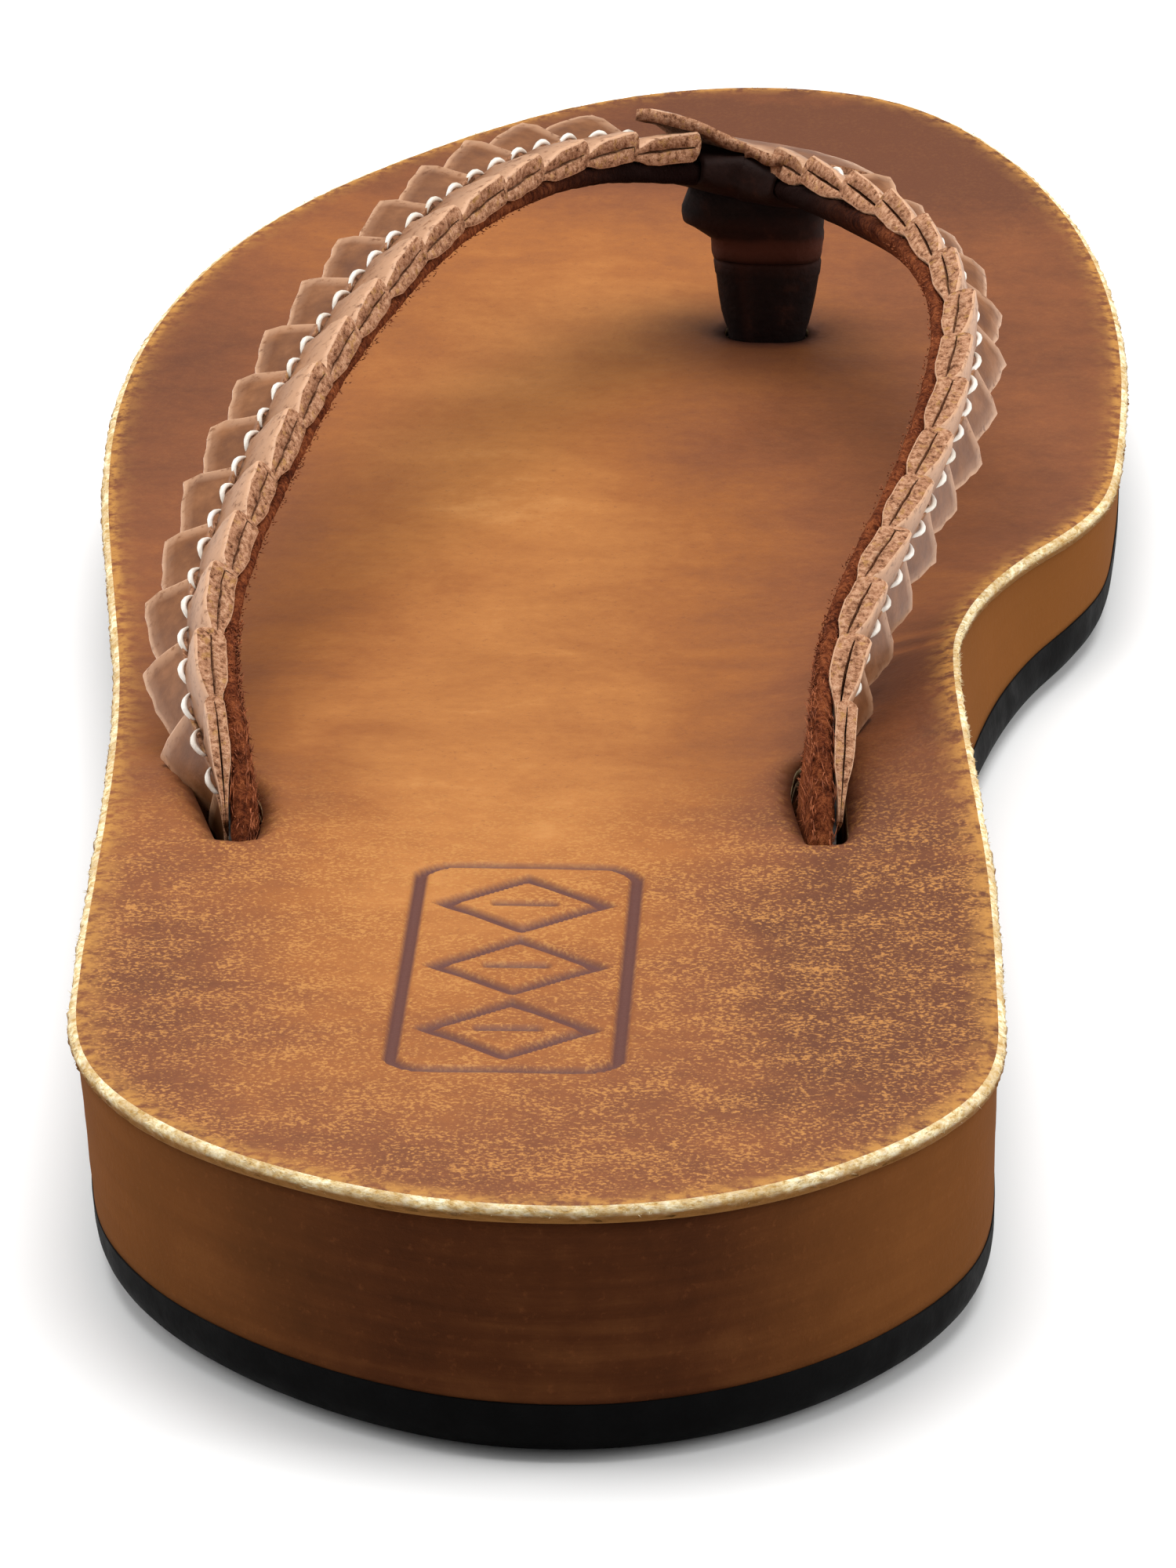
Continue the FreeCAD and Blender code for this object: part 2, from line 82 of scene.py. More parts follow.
BRAID_HALF = 4.7
LINING_HALF = 4.1
TAB_PITCH = 7.9
STITCH_PITCH = 3.95
CLEAR_OF_SLOT = 7.0
CLEAR_OF_LOOP = 6.6
POST = np.array([12.3, 70.0])
POST_SLOT_SIZE = (7.4, 4.9)
STRAP_IN_SLOT = (-2.1, 0.45)   # the strap's under and outer face, from its line
SLOT_ROOM = 0.3
OUTLINE_POINTS = 1500

# seeds of the random draws
FIBRE_SEED = 11
LINING_SEEDS = {"lateral": 21, "medial": 22}
TAB_SEEDS = {"lateral": 31, "medial": 41}
STITCH_SEEDS = {"lateral": 51, "medial": 52}

# Rows of the line on which the braid stands, from the lateral slot over the toes to the medial
# slot: a point, then the direction in which the strap's outer face looks. part.py has the same
# rows. A program fitted them to the photo.
LATERAL = [
    (-26.6, -51.0, 8.2, -1.0, 0.0, 0.0),
    (-26.7, -46.8, 13.8, -1.0, 0.0, 0.0),
    (-29.0, -38.5, 18.4, -0.95, -0.16, 0.22),
    (-30.5, -26.5, 22.4, -0.79, -0.12, 0.6),
    (-29.0, -11.4, 26.1, -0.6, -0.07, 0.79),
    (-26.1, 3.9, 29.3, -0.5, -0.03, 0.87),
    (-22.2, 19.0, 32.0, -0.41, 0.0, 0.91),
    (-17.2, 33.7, 34.0, -0.27, 0.05, 0.96),
    (-11.2, 48.1, 34.4, -0.1, 0.1, 0.99),
    (-4.2, 61.0, 33.0, 0.06, 0.14, 0.99),
    (3.1, 68.0, 30.8, 0.1, 0.2, 0.97),
]
APEX = (10.8, 71.0, 28.8, 0.08, 0.25, 0.96)
MEDIAL = [
    (16.4, 66.6, 29.0, 0.15, 0.24, 0.94),
    (19.8, 58.3, 29.8, 0.37, 0.24, 0.88),
    (24.2, 48.0, 30.6, 0.55, 0.25, 0.8),
    (27.6, 36.3, 30.8, 0.75, 0.13, 0.62),
    (29.3, 21.1, 29.6, 0.95, -0.02, 0.31),
    (27.7, 5.8, 27.4, 0.98, -0.14, 0.04),
    (24.7, -9.2, 24.9, 0.98, -0.2, -0.1),
    (21.5, -23.0, 22.2, 0.98, -0.2, -0.05),
    (19.5, -36.0, 18.9, 0.99, 0.05, -0.06),
    (19.5, -46.1, 14.3, 0.98, 0.1, -0.14),
    (19.4, -50.6, 8.6, 0.98, 0.1, -0.14),
]


# ----------------------------------------
# Small maths
# ----------------------------------------

def smooth(value, low, high):
    """0 below low, 1 above high, and an even S between them. High may be the smaller one."""
    t = np.clip((np.asarray(value, float) - low) / (high - low), 0.0, 1.0)
    return t * t * (3.0 - 2.0 * t)


def ripple(points, size, seed=0.0):
    """Smooth noise from -1 to 1 at each point, with features of about that size in millimetres."""
    shift = Vector((seed * 17.3, seed * 5.1, seed * 9.7))
    return np.array([noise.noise(Vector(p) / size + shift) for p in np.asarray(points)])


class Spline:
    """A natural cubic through rows of numbers, by the distance between their first three."""

    def __init__(self, rows):
        rows = np.array(rows, float)
        steps = np.linalg.norm(np.diff(rows[:, :3], axis=0), axis=1)
        self.rows = rows
        self.at = np.concatenate([[0.0], np.cumsum(steps)])
        count = len(rows)
        matrix = np.eye(count)
        right = np.zeros_like(rows)
        for i in range(1, count - 1):
            before, after = steps[i - 1], steps[i]
            matrix[i, i - 1:i + 2] = before, 2.0 * (before + after), after
            slopes = (rows[i + 1] - rows[i]) / after - (rows[i] - rows[i - 1]) / before
            right[i] = 6.0 * slopes
        self.bend = np.linalg.solve(matrix, right)

    def __call__(self, s):
        s = np.clip(np.atleast_1d(np.asarray(s, float)), self.at[0], self.at[-1])
        i = np.clip(np.searchsorted(self.at, s) - 1, 0, len(self.at) - 2)
        step = self.at[i + 1] - self.at[i]
        b = ((s - self.at[i]) / step)[:, None]
        a = 1.0 - b
        curve = (a ** 3 - a) * self.bend[i] + (b ** 3 - b) * self.bend[i + 1]
        return a * self.rows[i] + b * self.rows[i + 1] + curve * (step ** 2)[:, None] / 6.0


# ----------------------------------------
# Sole: heights and plan
# ----------------------------------------

def ground_height(y):
    """Height of the outsole's lower face: flat, then an arc up to the toe."""
    start = 0.1 * LENGTH
    run = 0.5 * LENGTH - start
    radius = (run ** 2 + TOE_SPRING ** 2) / (2.0 * TOE_SPRING)
    return radius - np.sqrt(radius ** 2 - np.clip(y - start, 0.0, None) ** 2)


def footbed_height(x, y):
    """Height of the leather's upper face."""
    along = y / LENGTH + 0.5
    base = HEEL_HEIGHT + (BALL_HEIGHT - HEEL_HEIGHT) * np.minimum(1.0, along / 0.48)
    base = base + (TOE_HEIGHT - BALL_HEIGHT) * np.clip((along - 0.385) / 0.615, 0.0, None) ** 2
    arch = np.exp(-((along - 0.415) / 0.1) ** 2)
    side = (np.clip(x / WIDTH + 0.02, 0.0, None) / 0.37) ** 5
    return base + ARCH_RISE * arch * 1.6 * side / (0.6 + side)


def near_loop(points, loop):
    """Distance from each point in plan to a loop's line."""
    gaps = [np.linalg.norm(points[i:i + 4000, None, :] - loop[None, :, :], axis=2).min(axis=1)
            for i in range(0, len(points), 4000)]
    return np.concatenate(gaps)


def hull(points):
    """Convex outline of points in plan, counter-clockwise."""
    ordered = sorted(map(tuple, points))

    def half(row):
        chain = []
        for p in row:
            while len(chain) > 1:
                (ax, ay), (bx, by) = chain[-2:]
                if (bx - ax) * (p[1] - ay) - (by - ay) * (p[0] - ax) > 0:
                    break
                chain.pop()
            chain.append(p)
        return chain[:-1]

    return np.array(half(ordered) + half(ordered[::-1]))


def sole_outline(count):
    """The sole's plan, read from the CAD leather's wall: even steps, counter-clockwise."""
    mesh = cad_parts["footbed_leather"].data
    wall = sorted({i for face in mesh.polygons if abs(face.normal.z) < 0.3 for i in face.vertices})
    points = np.array([mesh.vertices[i].co[:2] for i in wall]) / MM
    around = even_loop(hull(points), 700, 0)
    points = points[near_loop(points, around) < 6.0]
    points = points[np.argsort(np.arctan2(points[:, 0], -points[:, 1]))]
    apart = np.linalg.norm(points - np.roll(points, 1, axis=0), axis=1) > 0.8
    points = points[apart]
    overlap = 8
    padded = np.vstack([points[-overlap:], points, points[:overlap + 1]])
    curve = Spline(np.column_stack([padded, np.zeros(len(padded))]))
    start, end = curve.at[overlap], curve.at[overlap + len(points)]
    dense = curve(np.linspace(start, end, 6 * count, endpoint=False))[:, :2]
    return even_loop(dense, count, 2)


def even_loop(points, count, blur):
    """A closed line again at even steps, smoothed over that many neighbours each way."""
    closed = np.vstack([points, points[:1]])
    steps = np.linalg.norm(np.diff(closed, axis=0), axis=1)
    at = np.concatenate([[0.0], np.cumsum(steps)])
    wanted = np.linspace(0.0, at[-1], count, endpoint=False)
    loop = np.stack([np.interp(wanted, at, closed[:, k]) for k in range(2)], axis=1)
    if blur:
        loop = np.mean([np.roll(loop, k, axis=0) for k in range(-blur, blur + 1)], axis=0)
    return loop


def outward_of(loop):
    """Unit vectors in plan that look out of a counter-clockwise loop."""
    ahead = np.roll(loop, -1, axis=0) - np.roll(loop, 1, axis=0)
    ahead /= np.linalg.norm(ahead, axis=1)[:, None]
    return np.stack([ahead[:, 1], -ahead[:, 0]], axis=1)


OUTLINE = sole_outline(OUTLINE_POINTS)
OUTLINE_OUT = outward_of(OUTLINE)


def inset(distance, loop=None, out=None):
    """The outline, or another loop, moved inwards by a distance or by one distance a point."""
    loop = OUTLINE if loop is None else loop
    out = OUTLINE_OUT if out is None else out
    return loop - out * np.asarray(distance, float).reshape(-1, 1)


def edge_distance(points):
    """How far each point in plan is inside the outline."""
    return near_loop(points, OUTLINE[::3])


def inside(points, loop):
    """Which points in plan a closed loop holds."""
    x, y = points[:, 0], points[:, 1]
    held = np.zeros(len(points), bool)
    for (x0, y0), (x1, y1) in zip(loop, np.roll(loop, -1, axis=0)):
        if y0 == y1:
            continue
        crosses = ((y0 > y) != (y1 > y)) & (x < (x1 - x0) * (y - y0) / (y1 - y0) + x0)
        held ^= crosses
    return held


def fill(loop, holes, spacing, extra=None):
    """Triangles over a region in plan, the loop's and the holes' points first."""
    loops = [loop] + list(holes)
    low, high = loop.min(axis=0), loop.max(axis=0)
    rows = np.arange(low[1], high[1], spacing * 0.87)
    grid = []
    for k, y in enumerate(rows):
        xs = np.arange(low[0] + 0.5 * spacing * (k % 2), high[0], spacing)
        grid.append(np.stack([xs, np.full(len(xs), y)], axis=1))
    grid = np.vstack(grid)
    if extra is not None:
        corner, opposite = extra.min(axis=0) - 0.6, extra.max(axis=0) + 0.6
        grid = grid[~np.all((grid > corner) & (grid < opposite), axis=1)]
        grid = np.vstack([grid, extra])
    keep = inside(grid, loop)
    for line in loops:
        thin = line[::2] if len(line) > 200 else line
        keep &= near_loop(grid, thin) > 0.3 * spacing
    for line in holes:
        keep &= ~inside(grid, line)
    grid = grid[keep]
    points = np.vstack(loops + [grid])
    edges, start = [], 0
    for line in loops:
        count = len(line)
        edges += [(start + i, start + (i + 1) % count) for i in range(count)]
        start += count
    found = delaunay_2d_cdt([Vector(p) for p in points], edges, [], 0, 1e-6)
    back = {}
    for new, originals in enumerate(found[3]):
        for old in originals:
            back[new] = old
    triangles = np.array([[back.get(i, -1) for i in face] for face in found[2]])
    triangles = triangles[(triangles >= 0).all(axis=1)]
    middles = points[triangles].mean(axis=1)
    wanted = inside(middles, loop)
    for line in holes:
        wanted &= ~inside(middles, line)
    return points, triangles[wanted]


# ----------------------------------------
# Meshes
# ----------------------------------------

class Shape:
    """A mesh in millimetres, added to part by part, with named values at its points."""

    def __init__(self, *channels):
        self.points = []
        self.faces = []
        self.slots = []
        self.values = {name: [] for name in channels}
        self.count = 0

    def add(self, points, faces, slot=0, **values):
        """New points, with faces that count from the first of them, whose number is given back."""
        points = np.asarray(points, float).reshape(-1, 3)
        first = self.count
        self.points.append(points)
        self.join(([i + first for i in face] for face in faces), slot)
        for name, rows in self.values.items():
            rows.append(np.zeros(len(points)) + np.asarray(values.get(name, 0.0), float).ravel())
        self.count += len(points)
        return first

    def join(self, faces, slot=0, flip=False):
        """More faces between points that are already there."""
        new = [tuple(int(i) for i in (face[::-1] if flip else face)) for face in faces]
        self.faces += new
        self.slots += [slot] * len(new)

    def wrap(self, a, b, slot=0, flip=False):
        """A closed strip between two rings of points."""
        self.join(zip(a, b, np.roll(b, -1), np.roll(a, -1)), slot, flip)

    def wall(self, a, b, slot=0, flip=False):
        """The same strip, facing the other way."""
        self.join(zip(a, np.roll(a, -1), np.roll(b, -1), b), slot, flip)

    def strip(self, a, b, slot=0, flip=False):
        """An open strip between two rows of points."""
        self.join(zip(a[:-1], a[1:], b[1:], b[:-1]), slot, flip)

    def cap(self, first, count, flip=False):
        """One face over a ring of points."""
        self.join([range(first, first + count)], 0, flip)

    def tube(self, rings, flip=False, **values):
        """Rings of points joined to a pipe with closed ends."""
        count = len(rings[0])
        first = self.add(np.vstack(rings), grid_faces(len(rings), count, flip=flip), **values)
        self.cap(first, count, not flip)
        self.cap(first + (len(rings) - 1) * count, count, flip)

    def piece(self, name, materials, replaces):
        mesh = bpy.data.meshes.new(name)
        points = np.vstack(self.points) * MM
        mesh.from_pydata(points.tolist(), [], self.faces)
        for material in materials:
            mesh.materials.append(material)
        mesh.polygons.foreach_set("material_index", self.slots)
        mesh.polygons.foreach_set("use_smooth", [True] * len(self.faces))
        for channel, rows in self.values.items():
            layer = mesh.attributes.new(channel, "FLOAT", "POINT")
            layer.data.foreach_set("value", np.concatenate(rows).astype(np.float32))
        mesh.update()
        made = bpy.data.objects.new(name, mesh)
        bpy.context.scene.collection.objects.link(made)
        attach(made, BODY)
        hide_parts(*replaces)


def grid_faces(rows, columns, closed=True, flip=False):
    """Quads over a grid of points stored row by row. Closed joins each row's end to its start."""
    faces = []
    for r in range(rows - 1):
        for c in range(columns if closed else columns - 1):
            d = (c + 1) % columns
            face = (r * columns + c, r * columns + d, (r + 1) * columns + d, (r + 1) * columns + c)
            faces.append(face[::-1] if flip else face)
    return faces


def slot_walls(shape, start, upper, lower, slot=0):
    """Walls of the slots between two copies of a plan whose slots begin at point start."""
    for loop in SLOTS:
        around = start + np.arange(len(loop))
        shape.wall(upper + around, lower + around, slot)
        start += len(loop)


def with_height(plan, height):
    return np.column_stack([plan, np.broadcast_to(height, len(plan))])


def uneven(points, depth, size, seed):
    """Points moved by smooth noise of that depth and size, with a seed for each direction."""
    return points + depth * np.stack([ripple(points, size, seed + k) for k in range(3)], axis=1)


# ----------------------------------------
# Straps: one frame along the thong line
# ----------------------------------------

thong = Spline(LATERAL + [APEX] + MEDIAL)
guide = Spline([tuple(np.array(r[:3]) + np.array(r[3:])) for r in LATERAL + [APEX] + MEDIAL])
guide.at = thong.at
THONG_END = thong.at[-1]
APEX_AT = thong.at[len(LATERAL)]
REACH = {"lateral": APEX_AT, "medial": THONG_END - APEX_AT}


def line_frame(s):
    """Points of the thong line and its outward, rearward and forward directions there."""
    s = np.asarray(s, float)
    point = thong(s)[:, :3]
    tangent = thong(s + 0.05)[:, :3] - thong(s - 0.05)[:, :3]
    tangent /= np.linalg.norm(tangent, axis=1)[:, None]
    outward = thong(s)[:, 3:]
    outward = outward - tangent * np.sum(outward * tangent, axis=1)[:, None]
    outward /= np.linalg.norm(outward, axis=1)[:, None]
    return point, outward, np.cross(tangent, outward)


def on_line(s, rearward, outward):
    """Points beside the thong line, one for each place along it."""
    point, out, rear = line_frame(s)
    rearward = np.broadcast_to(rearward, len(point))[:, None]
    outward = np.broadcast_to(outward, len(point))[:, None]
    return point + rear * rearward + out * outward


def on_strap(side, u, rearward, outward):
    """Points of a strap at distances u from its slot end."""
    s = np.asarray(u, float)
    return on_line(s if side == "lateral" else THONG_END - s, rearward, outward)


def strap_slot(side):
    """Outline in plan of the strap where it passes through the leather."""
    found = []
    for u in np.arange(0.0, 34.0, 0.5):
        for rearward in np.linspace(-BRAID_HALF, BRAID_HALF, 15):
            for outward in STRAP_IN_SLOT:
                x, y, z = on_strap(side, [u], rearward, outward)[0]
                depth = footbed_height(x, y) - z
                if -0.15 < depth < 2.0:
                    found.append((x, y))
    loop = even_loop(hull(found), 72, 2)
    return inset(-SLOT_ROOM, loop, outward_of(loop))


def round_rectangle(width, depth, count, power=2.6):
    """A rounded rectangle about the origin, counter-clockwise in plan."""
    angle = np.arange(count) * 2.0 * math.pi / count
    c, s = np.cos(angle), np.sin(angle)
    x = 0.5 * width * np.sign(c) * np.abs(c) ** (2.0 / power)
    y = 0.5 * depth * np.sign(s) * np.abs(s) ** (2.0 / power)
    return np.stack([x, y], axis=1)


STRAP_SLOTS = [strap_slot("lateral"), strap_slot("medial")]
POST_SLOT = POST + round_rectangle(*POST_SLOT_SIZE, 40)
SLOTS = STRAP_SLOTS + [POST_SLOT]


# ----------------------------------------
# Materials
# ----------------------------------------

class Paint:
    """A node material under construction."""

    def __init__(self, name):
        self.material = bpy.data.materials.new(name)
        self.material.use_nodes = True
        self.tree = self.material.node_tree
        self.tree.nodes.clear()
        self.shader = self.node("ShaderNodeBsdfPrincipled")
        output = self.node("ShaderNodeOutputMaterial")
        self.link(self.shader.outputs[0], output.inputs["Surface"])
        place = self.node("ShaderNodeTexCoord").outputs["Object"]
        self.place = self.vector("MULTIPLY", place, (1000.0, 1000.0, 1000.0))

    def node(self, kind):
        return self.tree.nodes.new(kind)

    def link(self, source, target):
        self.tree.links.new(source, target)

    def put(self, value, target):
        if isinstance(value, bpy.types.NodeSocket):
            self.link(value, target)
        else:
            target.default_value = value

    def vector(self, operation, a, b):
        made = self.node("ShaderNodeVectorMath")
        made.operation = operation
        self.put(a, made.inputs[0])
        self.put(b, made.inputs[1])
        return made.outputs[0]

    def maths(self, operation, a, b=0.5):
        made = self.node("ShaderNodeMath")
        made.operation = operation
        self.put(a, made.inputs[0])
        self.put(b, made.inputs[1])
        return made.outputs[0]

    def part(self, value, share):
        return self.maths("MULTIPLY", value, share)

    def sway(self, tone, noise_value, share):
        """A tone moved up and down by a share of some noise."""
        return self.maths("ADD", tone, self.part(self.maths("SUBTRACT", noise_value), share))

    def value(self, channel):
        """A value stored at the mesh's points."""
        made = self.node("ShaderNodeAttribute")
        made.attribute_name = channel
        return made.outputs["Fac"]

    def stretched(self, x, y, z):
        """The place on the object, squeezed so that marks run long where a number is small."""
        return self.vector("MULTIPLY", self.place, (x, y, z))

    def noise(self, size, detail=3.0, rough=0.55, place=None, distortion=0.0):
        """Noise whose features are about that size in millimetres."""
        made = self.node("ShaderNodeTexNoise")
        self.put(place or self.place, made.inputs["Vector"])
        made.inputs["Scale"].default_value = 1.0 / size
        made.inputs["Detail"].default_value = detail
        made.inputs["Roughness"].default_value = rough
        made.inputs["Distortion"].default_value = distortion
        return made.outputs["Fac"]

    def cells(self, size):
        """Distance to the nearest of many scattered points about that many millimetres apart."""
        made = self.node("ShaderNodeTexVoronoi")
        self.put(self.place, made.inputs["Vector"])
        made.inputs["Scale"].default_value = 1.0 / size
        return made.outputs["Distance"]

    def step(self, value, low, high):
        """A value taken from low..high to 0..1 with soft ends."""
        made = self.node("ShaderNodeMapRange")
        made.interpolation_type = "SMOOTHSTEP"
        self.put(value, made.inputs["Value"])
        made.inputs["From Min"].default_value = low
        made.inputs["From Max"].default_value = high
        return made.outputs[0]

    def ramp(self, value, stops):
        made = self.node("ShaderNodeValToRGB")
        self.put(value, made.inputs["Fac"])
        elements = made.color_ramp.elements
        while len(elements) < len(stops):
            elements.new(0.5)
        for element, (position, colour) in zip(elements, stops):
            element.position = position
            element.color = (*colour, 1.0)
        return made.outputs["Color"]

    def mix(self, amount, a, b):
        made = self.node("ShaderNodeMix")
        made.data_type = "RGBA"
        self.put(amount, made.inputs[0])
        for value, target in ((a, made.inputs[6]), (b, made.inputs[7])):
            self.put(value if isinstance(value, bpy.types.NodeSocket) else (*value, 1.0), target)
        return made.outputs[2]

    def bump(self, height, strength, distance=0.3, under=None):
        """Relief of that many millimetres."""
        made = self.node("ShaderNodeBump")
        self.put(height, made.inputs["Height"])
        made.inputs["Strength"].default_value = strength
        made.inputs["Distance"].default_value = distance * MM
        if under is not None:
            self.link(under, made.inputs["Normal"])
        return made.outputs[0]

    def finish(self, colour, roughness, normal=None, **sockets):
        self.put(colour, self.shader.inputs["Base Color"])
        self.put(roughness, self.shader.inputs["Roughness"])
        if normal is not None:
            self.link(normal, self.shader.inputs["Normal"])
        for name, value in sockets.items():
            self.shader.inputs[name.replace("_", " ")].default_value = value
        return self.material


def footbed_paint():
    """Waxed pull-up leather: golden where it has been rubbed, plum where it hasn't. Painted shade:
    the toe post's shadow and dark rings round the post and the strap slots.
    """
    p = Paint("footbed_leather")
    tone = p.value("tone")
    cloud = p.noise(15.0, 4.0, 0.6, distortion=0.6)
    streak = p.noise(6.0, 4.0, 0.65, p.stretched(0.45, 1.3, 1.0))
    fine = p.noise(1.1, 3.0, 0.6)
    for noise_value, share in ((cloud, 0.6), (streak, 0.3), (fine, 0.22)):
        tone = p.sway(tone, noise_value, share)
    colour = p.ramp(tone, [
        (0.0, (0.12, 0.037, 0.0138)), (0.3, (0.205, 0.064, 0.0198)), (0.6, (0.31, 0.103, 0.0225)),
        (0.85, (0.41, 0.155, 0.036)), (1.0, (0.5, 0.215, 0.06)),
    ])
    dust = p.maths("ADD", p.noise(0.34, 2.0, 0.65), p.part(p.noise(3.5, 3.0), 0.35))
    specks = p.maths("MULTIPLY", p.step(dust, 0.66, 0.84), p.value("speckle"))
    colour = p.mix(specks, colour, (0.46, 0.2, 0.05))
    pits = p.step(p.noise(0.5, 2.0, 0.7, p.vector("ADD", p.place, (31.0, 7.0, 3.0))), 0.6, 0.75)
    colour = p.mix(p.part(pits, 0.3), colour, (0.13, 0.04, 0.017))
    rim = p.maths("MULTIPLY", p.value("rim"), p.step(p.noise(1.3, 4.0, 0.7), 0.36, 0.6))
    colour = p.mix(rim, colour, (0.43, 0.195, 0.042))
    # painted shade: the toe post's shadow behind it and dark rings round the post and the strap slots
    colour = p.mix(p.value("painted_shade"), colour, (0.07, 0.02, 0.009))
    colour = p.mix(p.value("mark"), colour, (0.115, 0.042, 0.032))
    grain = p.bump(p.noise(0.9, 4.0, 0.65), 0.45, 0.2)
    pores = p.bump(p.cells(0.8), 0.2, 0.1, grain)
    rough = p.ramp(p.noise(9.0, 3.0), [(0.3, (0.5,) * 3), (0.7, (0.64,) * 3)])
    return p.finish(colour, rough, pores, Specular_IOR_Level=0.22)


def raw_edge_paint():
    """The cut edge of the footbed leather: cream fibres on top, golden brown lower down."""
    p = Paint("raw_leather_edge")
    along = p.noise(0.55, 4.0, 0.7, p.stretched(0.8, 0.8, 2.0))
    patch = p.noise(3.5, 3.0, 0.65)
    colour = p.ramp(along, [
        (0.3, (0.36, 0.19, 0.05)), (0.4, (0.64, 0.45, 0.19)), (0.52, (0.85, 0.72, 0.44)),
        (0.66, (0.95, 0.87, 0.66)),
    ])
    golden = p.mix(0.55, colour, (0.42, 0.22, 0.05))
    colour = p.mix(p.step(patch, 0.4, 0.6), golden, colour)
    colour = p.mix(p.value("low"), colour, (0.2, 0.085, 0.018))
    return p.finish(colour, 0.85, p.bump(along, 0.9, 0.3), Specular_IOR_Level=0.15)


def foam_paint():
    """Buffed brown foam, with scuffs that run round the wall, and painted light: its sideways faces
    lighter and more golden.
    """
    p = Paint("midsole_foam")
    scuff = p.noise(5.0, 5.0, 0.7, p.stretched(0.16, 0.16, 3.2))
    cloud = p.noise(12.0, 4.0, 0.65)
    grain = p.noise(0.6, 3.0, 0.7)
    tone = p.maths("ADD", p.part(scuff, 0.4), p.part(cloud, 0.6))
    colour = p.ramp(tone, [
        (0.34, (0.042, 0.0133, 0.005)), (0.5, (0.064, 0.0195, 0.0066)), (0.66, (0.1, 0.034, 0.0108)),
    ])
    light = p.step(grain, 0.56, 0.75)
    colour = p.mix(p.part(light, 0.22), colour, (0.2, 0.066, 0.022))
    # painted light: lighter, golden brown where the wall faces sideways
    colour = p.mix(p.value("golden"), colour, (0.225, 0.082, 0.0185))
    normal = p.bump(scuff, 0.3, 0.22)
    normal = p.bump(grain, 0.5, 0.18, normal)
    return p.finish(colour, 0.9, normal, Specular_IOR_Level=0.03)


def rubber_paint():
    p = Paint("outsole_rubber")
    grain = p.noise(0.6, 3.0, 0.6)
    dust = p.step(p.noise(6.0, 4.0, 0.7), 0.5, 0.8)
    colour = p.mix(p.part(dust, 0.3), (0.0012, 0.0011, 0.0011), (0.003, 0.0027, 0.0024))
    rough = p.ramp(p.noise(3.0, 3.0), [(0.3, (0.55,) * 3), (0.7, (0.75,) * 3)])
    return p.finish(colour, rough, p.bump(grain, 0.3, 0.12), Specular_IOR_Level=0.05)


def tab_face_paint():
    """The smooth, slightly glossy face of the braid leather, pale along its cut rim and fold: the
    leather's own lighter edge and crease, with a painted highlight on it.
    """
    p = Paint("braid_leather")
    cloud = p.noise(3.0, 4.0, 0.65)
    colour = p.ramp(cloud, [
        (0.3, (0.12, 0.041, 0.014)), (0.5, (0.175, 0.064, 0.021)), (0.7, (0.25, 0.1, 0.037)),
    ])
    rim = p.maths("MULTIPLY", p.value("rim"), p.step(p.noise(0.7, 3.0, 0.7), 0.25, 0.5))
    # pale rim: the leather's own lighter cut edge and crease, with a painted highlight
    colour = p.mix(rim, colour, (0.58, 0.335, 0.2))
    colour = p.mix(p.value("shade"), colour, (0.06, 0.02, 0.011))
    normal = p.bump(p.noise(0.5, 3.0, 0.6), 0.35, 0.1)
    return p.finish(colour, 0.5, normal, Specular_IOR_Level=0.25, Coat_Weight=0.05,
                    Coat_Roughness=0.3)


def tab_edge_paint():
    """The cut, fibrous edge of the braid leather."""
    p = Paint("braid_leather_edge")
    fibre = p.noise(0.5, 4.0, 0.75)
    colour = p.ramp(fibre, [
        (0.34, (0.09, 0.03, 0.012)), (0.43, (0.29, 0.125, 0.06)), (0.54, (0.47, 0.235, 0.13)),
        (0.7, (0.64, 0.38, 0.235)),
    ])
    gold = p.step(p.noise(0.8, 2.0, 0.6, p.vector("ADD", p.place, (5.0, 11.0, 2.0))), 0.56, 0.68)
    colour = p.mix(p.part(gold, 0.55), colour, (0.46, 0.24, 0.07))
    colour = p.mix(p.value("shade"), colour, (0.06, 0.02, 0.011))
    return p.finish(colour, 0.85, p.bump(fibre, 1.0, 0.3), Specular_IOR_Level=0.15)


def lining_paint():
    """Fuzzy red-brown suede, nearly black towards the toe."""
    p = Paint("lining_suede")
    nap = p.noise(0.6, 4.0, 0.75, p.stretched(1.6, 1.6, 0.7))
    cloud = p.noise(3.0, 3.0, 0.6)
    tone = p.maths("ADD", p.part(nap, 0.65), p.part(cloud, 0.35))
    colour = p.ramp(tone, [
        (0.36, (0.035, 0.008, 0.004)), (0.47, (0.13, 0.03, 0.011)), (0.58, (0.27, 0.075, 0.026)),
        (0.72, (0.42, 0.14, 0.05)),
    ])
    colour = p.mix(p.value("shade"), colour, (0.012, 0.0045, 0.0035))
    return p.finish(colour, 0.95, p.bump(nap, 1.0, 0.45), Specular_IOR_Level=0.05)


def fibre_paint(name, dark, light):
    p = Paint(name)
    colour = p.ramp(p.noise(1.1, 2.0, 0.6), [(0.35, dark), (0.65, light)])
    colour = p.mix(p.value("shade"), colour, (0.02, 0.008, 0.006))
    return p.finish(colour, 0.85, p.bump(p.noise(0.2, 2.0), 0.3, 0.05), Specular_IOR_Level=0.2)


def thread_paint():
    """Waxed white thread with the lay of its plies."""
    p = Paint("waxed_thread")
    dirt = p.noise(2.5, 3.0, 0.6)
    colour = p.ramp(dirt, [(0.3, (0.66, 0.58, 0.47)), (0.6, (0.86, 0.82, 0.75))])
    ply = p.noise(0.25, 2.0, 0.5)
    return p.finish(colour, 0.3, p.bump(ply, 0.4, 0.06), Specular_IOR_Level=0.6)


